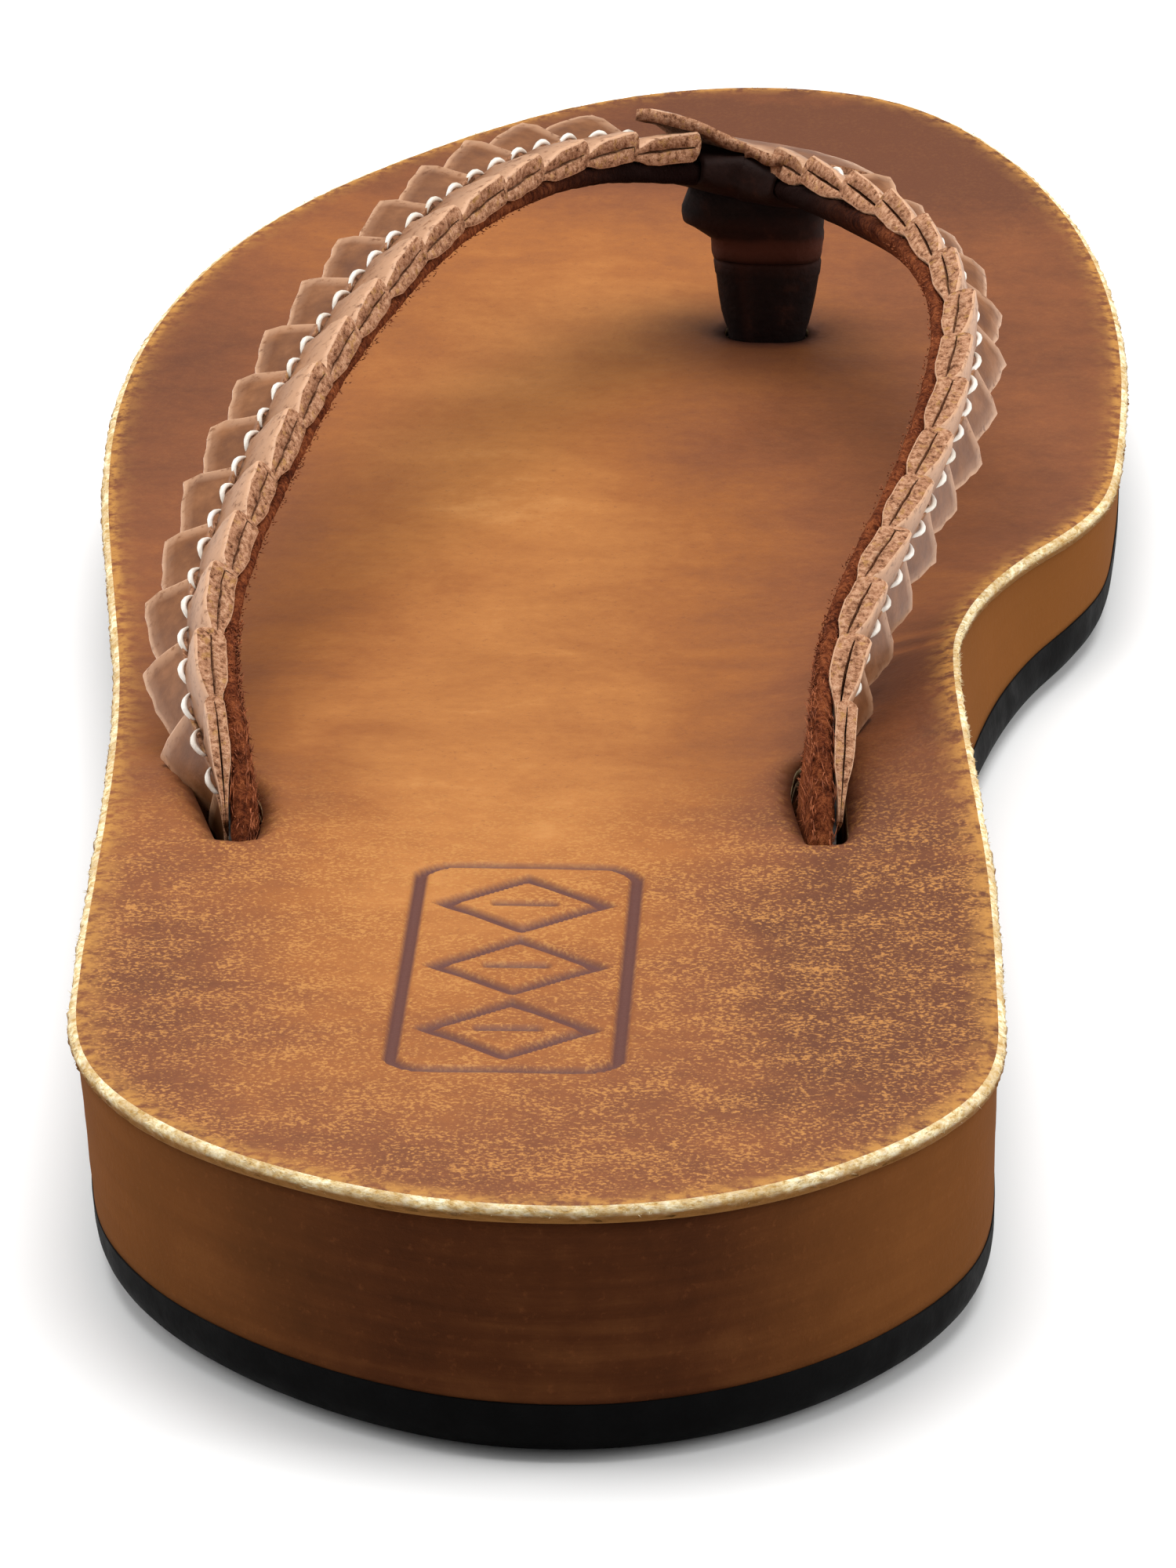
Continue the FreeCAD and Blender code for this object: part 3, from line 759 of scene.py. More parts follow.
def dark_leather_paint():
    """The nearly black leather of the toe loop and post, browner on its worn ridges."""
    p = Paint("dark_leather")
    wear = p.noise(2.6, 4.0, 0.7)
    colour = p.ramp(wear, [
        (0.35, (0.006, 0.0026, 0.0021)), (0.55, (0.012, 0.0046, 0.0034)), (0.75, (0.034, 0.011, 0.006)),
    ])
    colour = p.mix(p.value("worn"), colour, (0.09, 0.024, 0.012))
    normal = p.bump(p.noise(0.9, 4.0, 0.65), 0.6, 0.25)
    return p.finish(colour, 0.7, normal, Specular_IOR_Level=0.12)


def webbing_paint():
    """Dark nylon tape with a plain weave."""
    p = Paint("nylon_tape")
    weave = p.cells(0.5)
    colour = p.ramp(weave, [(0.2, (0.05, 0.035, 0.026)), (0.6, (0.012, 0.009, 0.007))])
    return p.finish(colour, 0.7, p.bump(weave, 0.8, 0.2))


def board_paint():
    """Tan fibre board."""
    p = Paint("backing_board")
    fibre = p.noise(0.9, 4.0, 0.7, p.stretched(0.6, 1.4, 1.0))
    colour = p.ramp(fibre, [(0.3, (0.24, 0.15, 0.07)), (0.7, (0.42, 0.29, 0.16))])
    return p.finish(colour, 0.85, p.bump(fibre, 0.4, 0.1))


# ----------------------------------------
# Footbed leather
# ----------------------------------------

MARK_LOW = np.array([-12.0, -104.0])
MARK_HIGH = np.array([6.0, -58.0])
MARK_DEPTH = 0.42


def box_distance(points, middle, half, corner):
    """Signed distance to a rounded rectangle's outline, negative inside."""
    gap = np.abs(points - middle) - (np.asarray(half) - corner)
    outside = np.linalg.norm(np.clip(gap, 0.0, None), axis=1)
    return outside + np.minimum(gap.max(axis=1), 0.0) - corner


def mark_amount(points):
    """1 in the pressed lines of a plain ornament near the heel, 0 round them.

    A rounded frame holds three lozenges, each with a bar through it."""
    middle = 0.5 * (MARK_LOW + MARK_HIGH)
    half = 0.5 * (MARK_HIGH - MARK_LOW)
    line = np.abs(box_distance(points, middle, half - 0.8, 3.0)) - 0.5
    for k in (-1, 0, 1):
        centre = middle + np.array([0.0, 13.6 * k])
        away = np.abs(points - centre)
        lozenge = (away[:, 0] / 6.0 + away[:, 1] / 5.6 - 1.0) * 4.0
        line = np.minimum(line, np.abs(lozenge) - 0.55)
        line = np.minimum(line, box_distance(points, centre, (2.4, 0.5), 0.3))
    return 1.0 - smooth(line, -0.12, 0.16)


def footbed_tone(points):
    """How golden the leather is: rubbed pale under the foot, plum along the sides and heel.

    Each patch has its middle, its half sizes and how much it adds."""
    patches = [
        (-9.0, -66.0, 17.0, 40.0, 0.42), (-7.0, -20.0, 20.0, 34.0, 0.36), (-9.0, 42.0, 18.0, 46.0, 0.5),
        (2.0, 86.0, 20.0, 22.0, 0.22), (-4.0, 5.0, 26.0, 9.0, 0.02), (25.0, -18.0, 8.0, 14.0, -0.38),
        (24.0, -78.0, 11.0, 32.0, -0.54), (-29.0, -84.0, 9.0, 26.0, -0.28), (-10.0, -119.0, 26.0, 9.0, -0.12),
        (-40.0, 50.0, 11.0, 40.0, -0.2), (36.0, 60.0, 12.0, 50.0, -0.12), (18.0, 114.0, 34.0, 17.0, -0.55),
        (10.0, 44.0, 12.0, 9.0, -0.2), (-27.0, -28.0, 5.0, 16.0, -0.05),
    ]
    x, y = points[:, 0], points[:, 1]
    tone = 0.3 + 0.0 * x
    for cx, cy, rx, ry, amount in patches:
        tone += amount * np.exp(-((x - cx) / rx) ** 2 - ((y - cy) / ry) ** 2)
    return tone


def crease_amount(points):
    """Two shallow creases across the arch side, in front of the strap's slot."""
    x, y = points[:, 0], points[:, 1]
    total = np.zeros(len(points))
    for start, slope in ((-6.5, 0.32), (-11.5, 0.26)):
        line = start + slope * (x - 26.0) + 0.6 * np.sin(0.6 * x)
        reach = smooth(x, 19.0, 23.0) * smooth(x, 33.5, 29.5)
        total += np.exp(-((y - line) / 0.8) ** 2) * reach
    return np.clip(total, 0.0, 1.0)


def footbed_relief(points):
    """What use and pressing add to the leather's height, and the colour values that go with it,
    among them painted shade: the toe post's shadow and dark rings round the post and the strap slots.
    """
    mark = mark_amount(points)
    crease = crease_amount(points)
    post = near_loop(points, POST_SLOT)
    slots = np.minimum(*[near_loop(points, loop) for loop in STRAP_SLOTS])
    flat = with_height(points, 0.0)
    relief = 0.16 * ripple(flat, 24.0, 1.0) + 0.05 * ripple(flat, 5.0, 2.0)
    relief -= MARK_DEPTH * mark + 0.3 * crease
    relief -= 0.7 * np.exp(-(post / 2.2) ** 2)
    relief += 0.25 * np.exp(-((slots - 1.4) / 1.0) ** 2) - 0.45 * np.exp(-(slots / 0.7) ** 2)
    # painted shadow of the toe post, falling behind it towards the heel
    back = points - (POST + np.array([-1.5, -5.0]))
    post_shadow = np.exp(-(back[:, 0] / 8.5) ** 2 - (back[:, 1] / 10.0) ** 2)
    # painted shade: the post's shadow, a dark ring round the post's foot and dark rings round the strap slots
    painted_shade = 0.72 * post_shadow + 0.5 * np.exp(-(post / 1.6) ** 2) + 0.75 * np.exp(-(slots / 0.9) ** 2)
    return relief, mark, np.clip(painted_shade, 0.0, 0.95), crease


def footbed_leather():
    count = len(OUTLINE)
    shape = Shape("tone", "speckle", "rim", "painted_shade", "mark", "low")
    step = 0.34
    xs = np.arange(MARK_LOW[0] - 0.5, MARK_HIGH[0] + 0.5, step)
    ys = np.arange(MARK_LOW[1] - 0.5, MARK_HIGH[1] + 0.5, step)
    dense = np.stack(np.meshgrid(xs, ys), axis=2).reshape(-1, 2)
    plan, triangles = fill(inset(1.5), SLOTS, 1.5, dense)
    relief, mark, painted_shade, crease = footbed_relief(plan)
    edge = edge_distance(plan)
    relief *= smooth(edge, 0.5, 4.0)
    height = footbed_height(plan[:, 0], plan[:, 1]) + relief
    colours = {
        # the creases paler: the pull-up leather's own lightening where folded, with a painted highlight
        "tone": footbed_tone(plan) + 0.35 * crease,
        "speckle": 0.05 + 0.85 * smooth(plan[:, 1], -28.0, -62.0),
        "rim": (1.0 - smooth(edge, 0.6, 2.8)) * (0.55 + 0.45 * smooth(plan[:, 1], 40.0, -60.0)),
        "painted_shade": painted_shade,
        "mark": mark,
    }
    shape.add(with_height(plan, height), triangles, **colours)

    # the rounded rim and the raw edge: (inset, drop below the upper face, roughness of the fibres)
    profile = [
        (1.0, 0.02, 0.0), (0.55, 0.08, 0.02), (0.25, 0.2, 0.06), (0.08, 0.38, 0.14),
        (0.0, 0.6, 0.2), (0.0, 0.82, 0.22), (0.03, 1.02, 0.22), (0.1, 1.2, 0.2), (0.25, 1.36, 0.12),
        (0.7, 1.42, 0.0), (2.2, LEATHER, 0.0),
    ]
    previous = np.arange(count)
    wave = 0.16 * ripple(with_height(OUTLINE, 0.0), 9.0, 5.0)
    for row, (back, drop, ragged) in enumerate(profile):
        probe = with_height(OUTLINE, 2.0 * row)
        tuft = ripple(probe, 0.9, 3.0) + 0.6 * ripple(probe, 0.4, 4.0)
        line = inset(back - ragged * tuft - wave * min(1.0, drop))
        top = footbed_height(line[:, 0], line[:, 1]) - drop + 0.5 * ragged * tuft
        first = shape.add(
            with_height(line, top), [], tone=footbed_tone(line),
            rim=1.0, low=smooth(drop + 0.16 * tuft, 0.42, 0.86),
        )
        ring = first + np.arange(count)
        shape.wrap(previous, ring, 0 if row < 2 else 1)
        previous = ring

    # the flesh side and the walls of the slots
    low_plan, low_triangles = fill(inset(2.2), SLOTS, 5.0)
    under = footbed_height(low_plan[:, 0], low_plan[:, 1]) - LEATHER
    first = shape.add(with_height(low_plan, under), low_triangles[:, ::-1], 1, low=1.0)
    shape.wrap(previous, first + np.arange(count), 1)
    slot_walls(shape, count, 0, first, 1)
    shape.piece(
        "footbed_leather_sock", [footbed_paint(), raw_edge_paint()], ["footbed_leather"],
    )


def edge_fibres():
    """Loose cream fibres that stand out of the raw edge."""
    rng = np.random.default_rng(FIBRE_SEED)
    shape = Shape("shade")
    for i in rng.integers(0, len(OUTLINE), 700):
        drop = rng.uniform(0.15, 0.9)
        x, y = OUTLINE[i]
        root = np.array([x, y, float(footbed_height(x, y)) - drop])
        out = np.array([*OUTLINE_OUT[i], 0.0])
        lean = np.array([-out[1], out[0], 0.0]) * rng.normal(0.0, 1.2)
        reach = out * rng.uniform(0.05, 0.3) + 0.3 * lean
        tip = root + reach + [0.0, 0.0, rng.normal(0.0, 0.12)]
        fibre(shape, root - 0.2 * out, tip, 0.045)
    shape.piece(
        "footbed_edge_fibres",
        [fibre_paint("cream_fibre", (0.5, 0.36, 0.16), (0.85, 0.74, 0.5))],
        ["footbed_leather"],
    )


def fibre(shape, root, tip, radius, shade=0.0):
    """A thin three-sided hair from root to tip."""
    axis = tip - root
    axis = axis / (np.linalg.norm(axis) + 1e-9)
    side = np.cross(axis, [0.3, 0.5, 0.8])
    side /= np.linalg.norm(side) + 1e-9
    other = np.cross(axis, side)
    ring = [root + radius * (side * math.cos(a) + other * math.sin(a)) for a in (0.0, 2.1, 4.2)]
    shape.add(ring + [tip], [(0, 1, 3), (1, 2, 3), (2, 0, 3), (2, 1, 0)], shade=shade)


# ----------------------------------------
# Backing, midsole and outsole
# ----------------------------------------

def footbed_backing():
    """The board under the leather, kept back from the edge so that it doesn't show."""
    shape = Shape()
    loop = inset(3.0)[::5]
    plan, triangles = fill(loop, SLOTS, 6.0)
    height = footbed_height(plan[:, 0], plan[:, 1])
    count = len(plan)
    shape.add(with_height(plan, height - LEATHER - 0.03), triangles)
    shape.add(with_height(plan, height - LEATHER - BACKING), triangles[:, ::-1])
    start = 0
    for k, line in enumerate([loop] + SLOTS):
        around = start + np.arange(len(line))
        shape.wrap(around, count + around, flip=k > 0)
        start += len(line)
    shape.piece("backing_board_inset", [board_paint()], ["footbed_backing"])


def wall_draft(loop, out):
    """How far in the wall leans at the ground for each point of the outline. At the waist's
    hollow, on the arch side, it leans out instead."""
    lateral = smooth(-out[:, 0], 0.1, 0.9)
    draft = LEAST_DRAFT + (LATERAL_DRAFT - LEAST_DRAFT) * lateral
    draft = draft + HEEL_DRAFT * smooth(-out[:, 1], 0.5, 1.0)
    along = [-40.0, -26.0, -10.0, 4.0, 16.0, 30.0]
    flare = np.interp(loop[:, 1], along, [0.0, 0.6, 1.9, 2.75, 1.9, 0.0]) * (loop[:, 0] > 0.0)
    reach = len(loop) // 75
    flare = np.mean([np.roll(flare, k) for k in range(-reach, reach + 1)], axis=0)
    return draft - flare


WALL_DRAFT = wall_draft(OUTLINE, OUTLINE_OUT)


def wall_line(height_share):
    """The wall's plan at a share of the way down from the leather to the ground."""
    return inset(WALL_INSET + WALL_DRAFT * height_share)


def midsole():
    """Foam wall and core, with pockets for the straps and the post."""
    count = len(OUTLINE)
    shape = Shape("golden")
    rows = 14
    tops = footbed_height(OUTLINE[:, 0], OUTLINE[:, 1]) - LEATHER
    bottoms = ground_height(OUTLINE[:, 1]) + OUTSOLE
    # golden: painted light, the wall lighter and more golden where it faces sideways, towards the side lamps,
    # most on the arch side forward of the heel
    golden = 0.7 * smooth(OUTLINE_OUT[:, 0], 0.35, 0.9) * smooth(OUTLINE[:, 1], -60.0, -25.0)
    golden = np.maximum(golden, 0.5 * smooth(np.abs(OUTLINE_OUT[:, 0]), 0.35, 1.0))
    points = [with_height(inset(WALL_INSET + 0.25), tops + 0.02)]
    for r in range(rows):
        share = r / (rows - 1.0)
        height = tops - 0.12 + (bottoms - tops + 0.12) * share
        line = wall_line(share * (tops - bottoms) / (tops - bottoms + OUTSOLE))
        rub = 0.05 * ripple(with_height(OUTLINE, height * 4.0), 9.0, 6.0)
        points.append(with_height(line + OUTLINE_OUT * rub[:, None], height))
    shape.add(np.vstack(points), grid_faces(rows + 1, count, flip=True), golden=np.tile(golden, rows + 1))
    loop = inset(2.6)
    plan, triangles = fill(loop, SLOTS, 6.0)
    height = footbed_height(plan[:, 0], plan[:, 1]) - LEATHER - BACKING - 0.02
    top = shape.add(with_height(plan, height), triangles)
    shape.wall(np.arange(count), top + np.arange(count))
    floor = ground_height(plan[:, 1]) + OUTSOLE
    low = shape.add(with_height(plan, floor), triangles[:, ::-1])
    shape.wall(low + np.arange(count), rows * count + np.arange(count))
    slot_walls(shape, count, top, low)
    shape.piece("midsole_foam", [foam_paint()], ["midsole"])


def groove_loops(rim, pitch=8.0, width=3.0, zigzag=2.0):
    """Zigzag grooves across the sole, inside a plain rim, as (front, back) lines in plan."""
    line = inset(rim)
    found = []
    for k in range(-18, 13):
        y = 0.1 * LENGTH + zigzag + 0.5 + k * pitch
        spans = []
        for level in (y - zigzag, y + zigzag + width):
            side = line[:, 1] > level
            crossing = np.flatnonzero(side != np.roll(side, -1))
            if len(crossing) >= 2:
                spans.append((line[crossing, 0].min(), line[crossing, 0].max()))
        if len(spans) < 2:
            continue
        left, right = max(s[0] for s in spans), min(s[1] for s in spans)
        bends = 2 * int((right - left) / 20.0)
        if bends < 2:
            continue
        x = np.linspace(left, right, bends + 1)
        front = np.stack([x, y + zigzag * (-1.0) ** np.arange(bends + 1)], axis=1)
        found.append((front, front + np.array([0.0, width])))
    return found


def outsole():
    """Black rubber: a wall that rolls under, and a tread of zigzag grooves."""
    shape = Shape()
    loop, out = OUTLINE[::3], OUTLINE_OUT[::3]
    draft = WALL_DRAFT[::3]
    count = len(loop)
    ground = ground_height(loop[:, 1])
    tops = footbed_height(loop[:, 0], loop[:, 1]) - LEATHER
    whole = tops - ground
    start_inset = WALL_INSET - OUTSOLE_PROUD
    under_foam = inset(WALL_INSET + 3.0, loop, out)
    rings = [with_height(under_foam, ground + OUTSOLE)]
    levels = [(0.0, OUTSOLE), (0.0, OUTSOLE - 0.1), (0.0, OUTSOLE - 0.8)]
    for k in range(9):
        angle = 0.5 * math.pi * k / 8
        levels.append((
            OUTSOLE_ROUNDING * (1.0 - math.cos(angle)), OUTSOLE_ROUNDING * (1.0 - math.sin(angle))
        ))
    for back, height in levels:
        lean = start_inset + draft * (whole - height) / whole
        rings.append(with_height(inset(lean + back, loop, out), ground + height))
    shape.add(np.vstack(rings), grid_faces(len(rings), count, flip=True))
    base = inset(start_inset + draft + OUTSOLE_ROUNDING, loop, out)
    grooves = groove_loops(TREAD_RIM)
    holes = [np.vstack([front, back[::-1]]) for front, back in grooves]
    plan, triangles = fill(base, holes, 6.0)
    first = shape.add(with_height(plan, ground_height(plan[:, 1])), triangles[:, ::-1])
    around = np.arange(count)
    shape.wall(first + around, (len(rings) - 1) * count + around)
    start = first + count
    for hole, (front, back) in zip(holes, grooves):
        roof = ground_height(hole[:, 1]) + TREAD_DEPTH
        inner = shape.add(with_height(hole, roof), [])
        size, bends = len(hole), len(front)
        shape.wrap(start + np.arange(size), inner + np.arange(size))
        shape.join([
            (inner + i, inner + size - 1 - i, inner + size - 2 - i, inner + i + 1)
            for i in range(bends - 1)
        ])
        start += size
    cover, cover_triangles = fill(under_foam, [], 12.0)
    first = shape.add(with_height(cover, ground_height(cover[:, 1]) + OUTSOLE), cover_triangles)
    shape.wrap(first + around, around)
    shape.piece("outsole_rubber", [rubber_paint()], ["outsole"])


# ----------------------------------------
# Straps
# ----------------------------------------

def toe_shade(side, u):
    """How dark the strap's underside is: nearly black towards the toe loop."""
    return smooth(u, REACH[side] - 46.0, REACH[side] - 16.0)


def strap_lining(side):
    """The suede lining with the tape bulge behind it, thicker and frayed near the slot."""
    rng = np.random.default_rng(LINING_SEEDS[side])
    shape = Shape("shade")
    places = np.arange(0.0, REACH[side] - 0.3, 0.6)
    around = 26
    angle = np.arange(around) * 2.0 * math.pi / around
    across = np.sign(np.cos(angle)) * np.abs(np.cos(angle)) ** 0.45
    through = np.sign(np.sin(angle)) * np.abs(np.sin(angle)) ** 0.8
    points, shades = [], []
    for u in places:
        fray = float(smooth(u, 20.0, 8.0))
        toe = float(smooth(u, REACH[side] - 50.0, REACH[side] - 12.0))
        half = 0.85 + 0.25 * fray + 0.3 * toe
        middle = -0.9 - 0.2 * fray - 0.3 * toe
        width = LINING_HALF + 0.3 * toe
        ring = on_strap(side, np.full(around, u), width * across, middle + half * through)
        rough = (0.14 + 0.2 * fray) * ripple(ring, 0.8, 7.0) + 0.15 * ripple(ring, 3.0, 8.0)
        centre = ring.mean(axis=0)
        points.append(ring + (ring - centre) / 3.0 * rough[:, None])
        shades += [float(toe_shade(side, u))] * around
    shape.tube(points, side == "medial", shade=shades)
    shape.piece("lining_" + side, [lining_paint()], ["strap_lining_" + side])

    fuzz = Shape("shade")
    for _ in range(5200):
        u = rng.uniform(6.0, REACH[side] - 8.0) if rng.random() < 0.45 else rng.uniform(3.0, 26.0)
        fray = float(smooth(u, 26.0, 9.0))
        rear = rng.choice([-1.0, 1.0], p=[0.25, 0.75])
        w = rear * (LINING_HALF - rng.uniform(-0.1, 0.5 + 2.5 * fray))
        h = rng.uniform(-1.75 - 0.25 * fray, -0.2)
        if abs(w) < LINING_HALF - 0.6:
            h = -1.65 - 0.25 * fray
        long = rng.uniform(0.2, 0.5) + 1.1 * fray * rng.random()
        du = rng.normal(0.0, 0.4) * long + 0.9 * fray * long * rng.choice([-1.0, 1.0])
        out = rear * long * rng.uniform(0.05, 0.45)
        start = on_strap(side, [u], w - 0.15 * rear, h)[0]
        stop = on_strap(side, [u + du], w + out, h + rng.normal(-0.08, 0.25) * long)[0]
        fibre(fuzz, start, stop, 0.06, float(toe_shade(side, u)))
    hairs = fibre_paint("suede_fibre", (0.12, 0.028, 0.011), (0.4, 0.12, 0.045))
    fuzz.piece("lining_fuzz_" + side, [hairs], ["strap_lining_" + side])


def tab_profile(tip, lift):
    """A folded tab from the side: along, middle height, then half thickness and half slit."""
    root = -1.3
    fold = 0.6
    end = tip - fold
    along = np.linspace(root, end, 8)
    rise = np.clip((along - root) / (tip - root), 0.0, 1.0)
    middle = 0.38 + (1.36 + lift - 0.38) * rise ** 1.25
    half = 0.36 + 0.5 * smooth(rise, 0.0, 0.55) + 0.06 * rise
    slit = 0.015 + 0.075 * np.sin(math.pi * rise) ** 0.7
    turn = np.radians([-60.0, -30.0, 0.0, 30.0, 60.0])
    ends = np.full(5, end)
    outer_along = np.concatenate([along, ends + fold * np.cos(turn), along[::-1]])
    inner_along = np.concatenate([along, ends - 0.15 + 0.12 * np.cos(turn), along[::-1]])
    middle = np.concatenate([middle, np.full(5, middle[-1]), middle[::-1]])
    outer = np.concatenate([-half, half[-1] * np.sin(turn), half[::-1]])
    inner = np.concatenate([-slit, slit[-1] * np.sin(turn), slit[::-1]])
    return (outer_along, outer), (inner_along, inner), middle


def add_tab(shape, side, row, near, rng):
    """One folded leather tab, tilted up towards the toe, its cut edge on the strap's outside."""
    rear = row == "inner"
    direction = 1.0 if rear else -1.0
    tip = TAB_PITCH - 0.1 + rng.uniform(-0.15, 0.45)
    outer, inner, middle = tab_profile(tip, rng.uniform(-0.12, 0.18))
    squeeze = 0.55 + 0.45 * float(smooth(near + 3.0, 8.0, 17.0))
    flare = rng.uniform(0.4, 0.8) + (0.0 if rear else 0.35)
    sag = rng.uniform(-0.12, 0.12)
    swell = 0.5 if rear else 0.1
    shares = [0.0, 0.08, 0.35, 0.65, 0.86, 0.97, 1.0]
    # rim: the pale cut edge, the leather's own lighter edge with a painted highlight on it
    edge_rims = [0.3, 0.2, 0.4, 0.6, 0.75, 1.0, 1.0] if rear else [0.15, 0.0, 0.0, 0.0, 0.2, 0.9, 1.0]
    size = len(middle)
    points, rims, shades = [], [], []
    shade = 0.85 * float(smooth(near, REACH[side] - 18.0, REACH[side] - 4.0)) * rear
    for along, height in (outer, inner):
        skin = height is outer[1]
        for k, share in enumerate(shares):
            grown = 4.15 + flare * np.clip(along / tip, 0.0, 1.0) + 0.1 * np.sin(along * 2.1 + near)
            across = 0.12 + (grown - 0.12) * share
            thick = 1.0 + swell * share ** 2 * smooth(along, 0.0, 3.0)
            if skin and k == len(shares) - 1:
                thick = thick * 0.88
            lift = middle + height * thick - 0.22 * swell * share ** 2
            lift = lift * squeeze * (0.66 + 0.34 * smooth(share, 0.0, 0.7))
            lift += sag * share * along / tip
            points.append(on_strap(side, near + along, direction * across, lift))
            # the fold towards the tip is pale too: lighter creased leather with a painted highlight
            fold = smooth(along, tip - 1.0, tip - 0.3) * (height >= -0.1) * (0.5 if rear else 1.0)
            rims.append(np.maximum(edge_rims[k], fold) if skin else np.zeros(size))
            shades.append(np.full(size, shade))
    points = uneven(np.vstack(points), 0.06, 1.4, 1)
    first = shape.add(points, [], rim=np.concatenate(rims), shade=np.concatenate(shades))
    flip = rear == (side == "lateral")
    rows = len(shares)
    faces = np.array(grid_faces(rows, size, closed=False, flip=flip)) + first
    shape.join(faces)
    shape.join(faces + rows * size, 1, True)
    for share_row, reverse in ((0, False), (rows - 1, True)):
        side_line = first + share_row * size + np.arange(size)
        shape.strip(side_line, side_line + rows * size, 1, reverse == flip)
    for end in (0, size - 1):
        end_line = first + end + size * np.arange(rows)
        shape.strip(end_line, end_line + rows * size, 1, (end == 0) == flip)


def braid_row(side, row):
    rng = np.random.default_rng(TAB_SEEDS[side] + (row == "outer"))
    shape = Shape("rim", "shade")
    phase = 0.0 if row == "inner" else 0.5 * TAB_PITCH
    length = REACH[side] - CLEAR_OF_LOOP - CLEAR_OF_SLOT
    count = int((length - phase) / TAB_PITCH)
    for i in range(-1, count):
        near = CLEAR_OF_SLOT + phase + i * TAB_PITCH
        if near > 1.3:
            add_tab(shape, side, row, near, rng)
    shape.piece(
        "tabs_%s_%s" % (row, side), [tab_face_paint(), tab_edge_paint()],
        ["braid_%s_%s" % (row, side)],
    )


def stitching(side):
    """Waxed thread: each stitch rises out of the leather, lies along the strap and dives again."""
    rng = np.random.default_rng(STITCH_SEEDS[side])
    shape = Shape()
    last = REACH[side] - 8.2
    steps, around = 13, 10
    phi = np.arange(around) * 2.0 * math.pi / around
    for i in range(int((last - 9.0) / STITCH_PITCH)):
        near = 9.6 + i * STITCH_PITCH + rng.uniform(-0.15, 0.15)
        long = rng.uniform(2.3, 2.8)
        t = np.linspace(0.0, 1.0, steps)
        arch = np.sin(math.pi * t) ** 0.7
        u = near + long * t
        w = 0.5 * (t - 0.5) * rng.uniform(0.3, 1.0) + rng.uniform(-0.1, 0.1)
        squeeze = 0.6 + 0.4 * smooth(u, 8.0, 17.0)
        h = (0.95 + 0.72 * arch) * squeeze
        rings = []
        for k in range(steps):
            radius = 0.24 * (0.6 + 0.4 * arch[k]) * (1.0 + 0.1 * np.cos(3.0 * phi + 14.0 * t[k]))
            rings.append(on_strap(
                side, np.full(around, u[k]), w[k] + radius * np.cos(phi), h[k] + radius * np.sin(phi)
            ))
        shape.tube(rings, side == "medial")
    shape.piece("stitches_" + side, [thread_paint()], ["stitching_" + side])


# ----------------------------------------
# Toe loop and post
# ----------------------------------------

def section_points(s, widths, outwards, ring):
    """A closed ring of (across, outward) pairs at a place along the thong line."""
    across = ring[:, 0] * widths
    outward = ring[:, 1] * outwards[0] + outwards[1]
    return on_line(np.full(len(ring), s), across, outward)


def toe_loop():
    """The dark leather wrapped round the straps where they meet, its neck and its lip."""
    shape = Shape("worn")
    around = 56
    ring = round_rectangle(2.0, 2.0, around, 3.6)
    places = np.linspace(APEX_AT - 7.5, APEX_AT + 8.5, 34)
    rows, worn = [], []
    for k, s in enumerate(places):
        t = k / (len(places) - 1.0)
        belly = math.sin(math.pi * t) ** 0.6
        points = section_points(s, 4.55 + 1.0 * belly, (1.35 + 0.95 * belly, -0.85), ring)
        rows.append(uneven(points, 0.2, 2.6, 4))
        worn.append(np.full(around, 0.06))
    shape.add(np.vstack(rows), grid_faces(len(rows), around), worn=np.concatenate(worn))
    for end, s in ((0, places[0] + 1.5), (len(rows) - 1, places[-1] - 1.5)):
        outer = end * around + np.arange(around)
        inner = shape.add(section_points(s, 4.2, (1.1, -0.85), ring), [])
        shape.wall(outer, inner + np.arange(around), flip=end == 0)
        shape.cap(inner, around, end == 0)
    # the neck, from inside the wrap down to the sleeve: height, width, depth, shift, wear
    levels = [
        (27.9, 12.0, 6.4, -0.5, 0.0), (26.6, 12.5, 6.8, -0.9, 0.0), (25.6, 12.7, 7.0, -1.2, 0.0),
        (25.0, 12.6, 7.0, -1.3, 0.1), (24.4, 12.5, 6.9, -1.3, 0.15), (23.9, 11.7, 6.6, -0.9, 0.1),
        (23.3, 10.7, 6.2, -0.4, 0.2), (22.8, 10.1, 5.9, 0.0, 0.8), (22.0, 9.9, 5.8, 0.0, 1.0),
        (21.3, 9.8, 5.7, 0.0, 0.7), (20.9, 9.6, 5.5, 0.0, 0.2), (20.75, 9.0, 5.0, 0.0, 0.0),
    ]
    rows, worn = [], []
    for z, width, depth, shift, wear in levels:
        plan = POST + np.array([shift, 0.0]) + round_rectangle(width, depth, around, 3.0)
        rows.append(uneven(with_height(plan, z), 0.16, 2.0, 7))
        worn.append(np.full(around, 0.7 * wear))
    neck = grid_faces(len(rows), around, flip=True)
    first = shape.add(np.vstack(rows), neck, worn=np.concatenate(worn))
    shape.cap(first + (len(rows) - 1) * around, around, True)
    shape.cap(first, around)
    shape.piece("toe_loop_wrap", [dark_leather_paint()], ["toe_loop"])


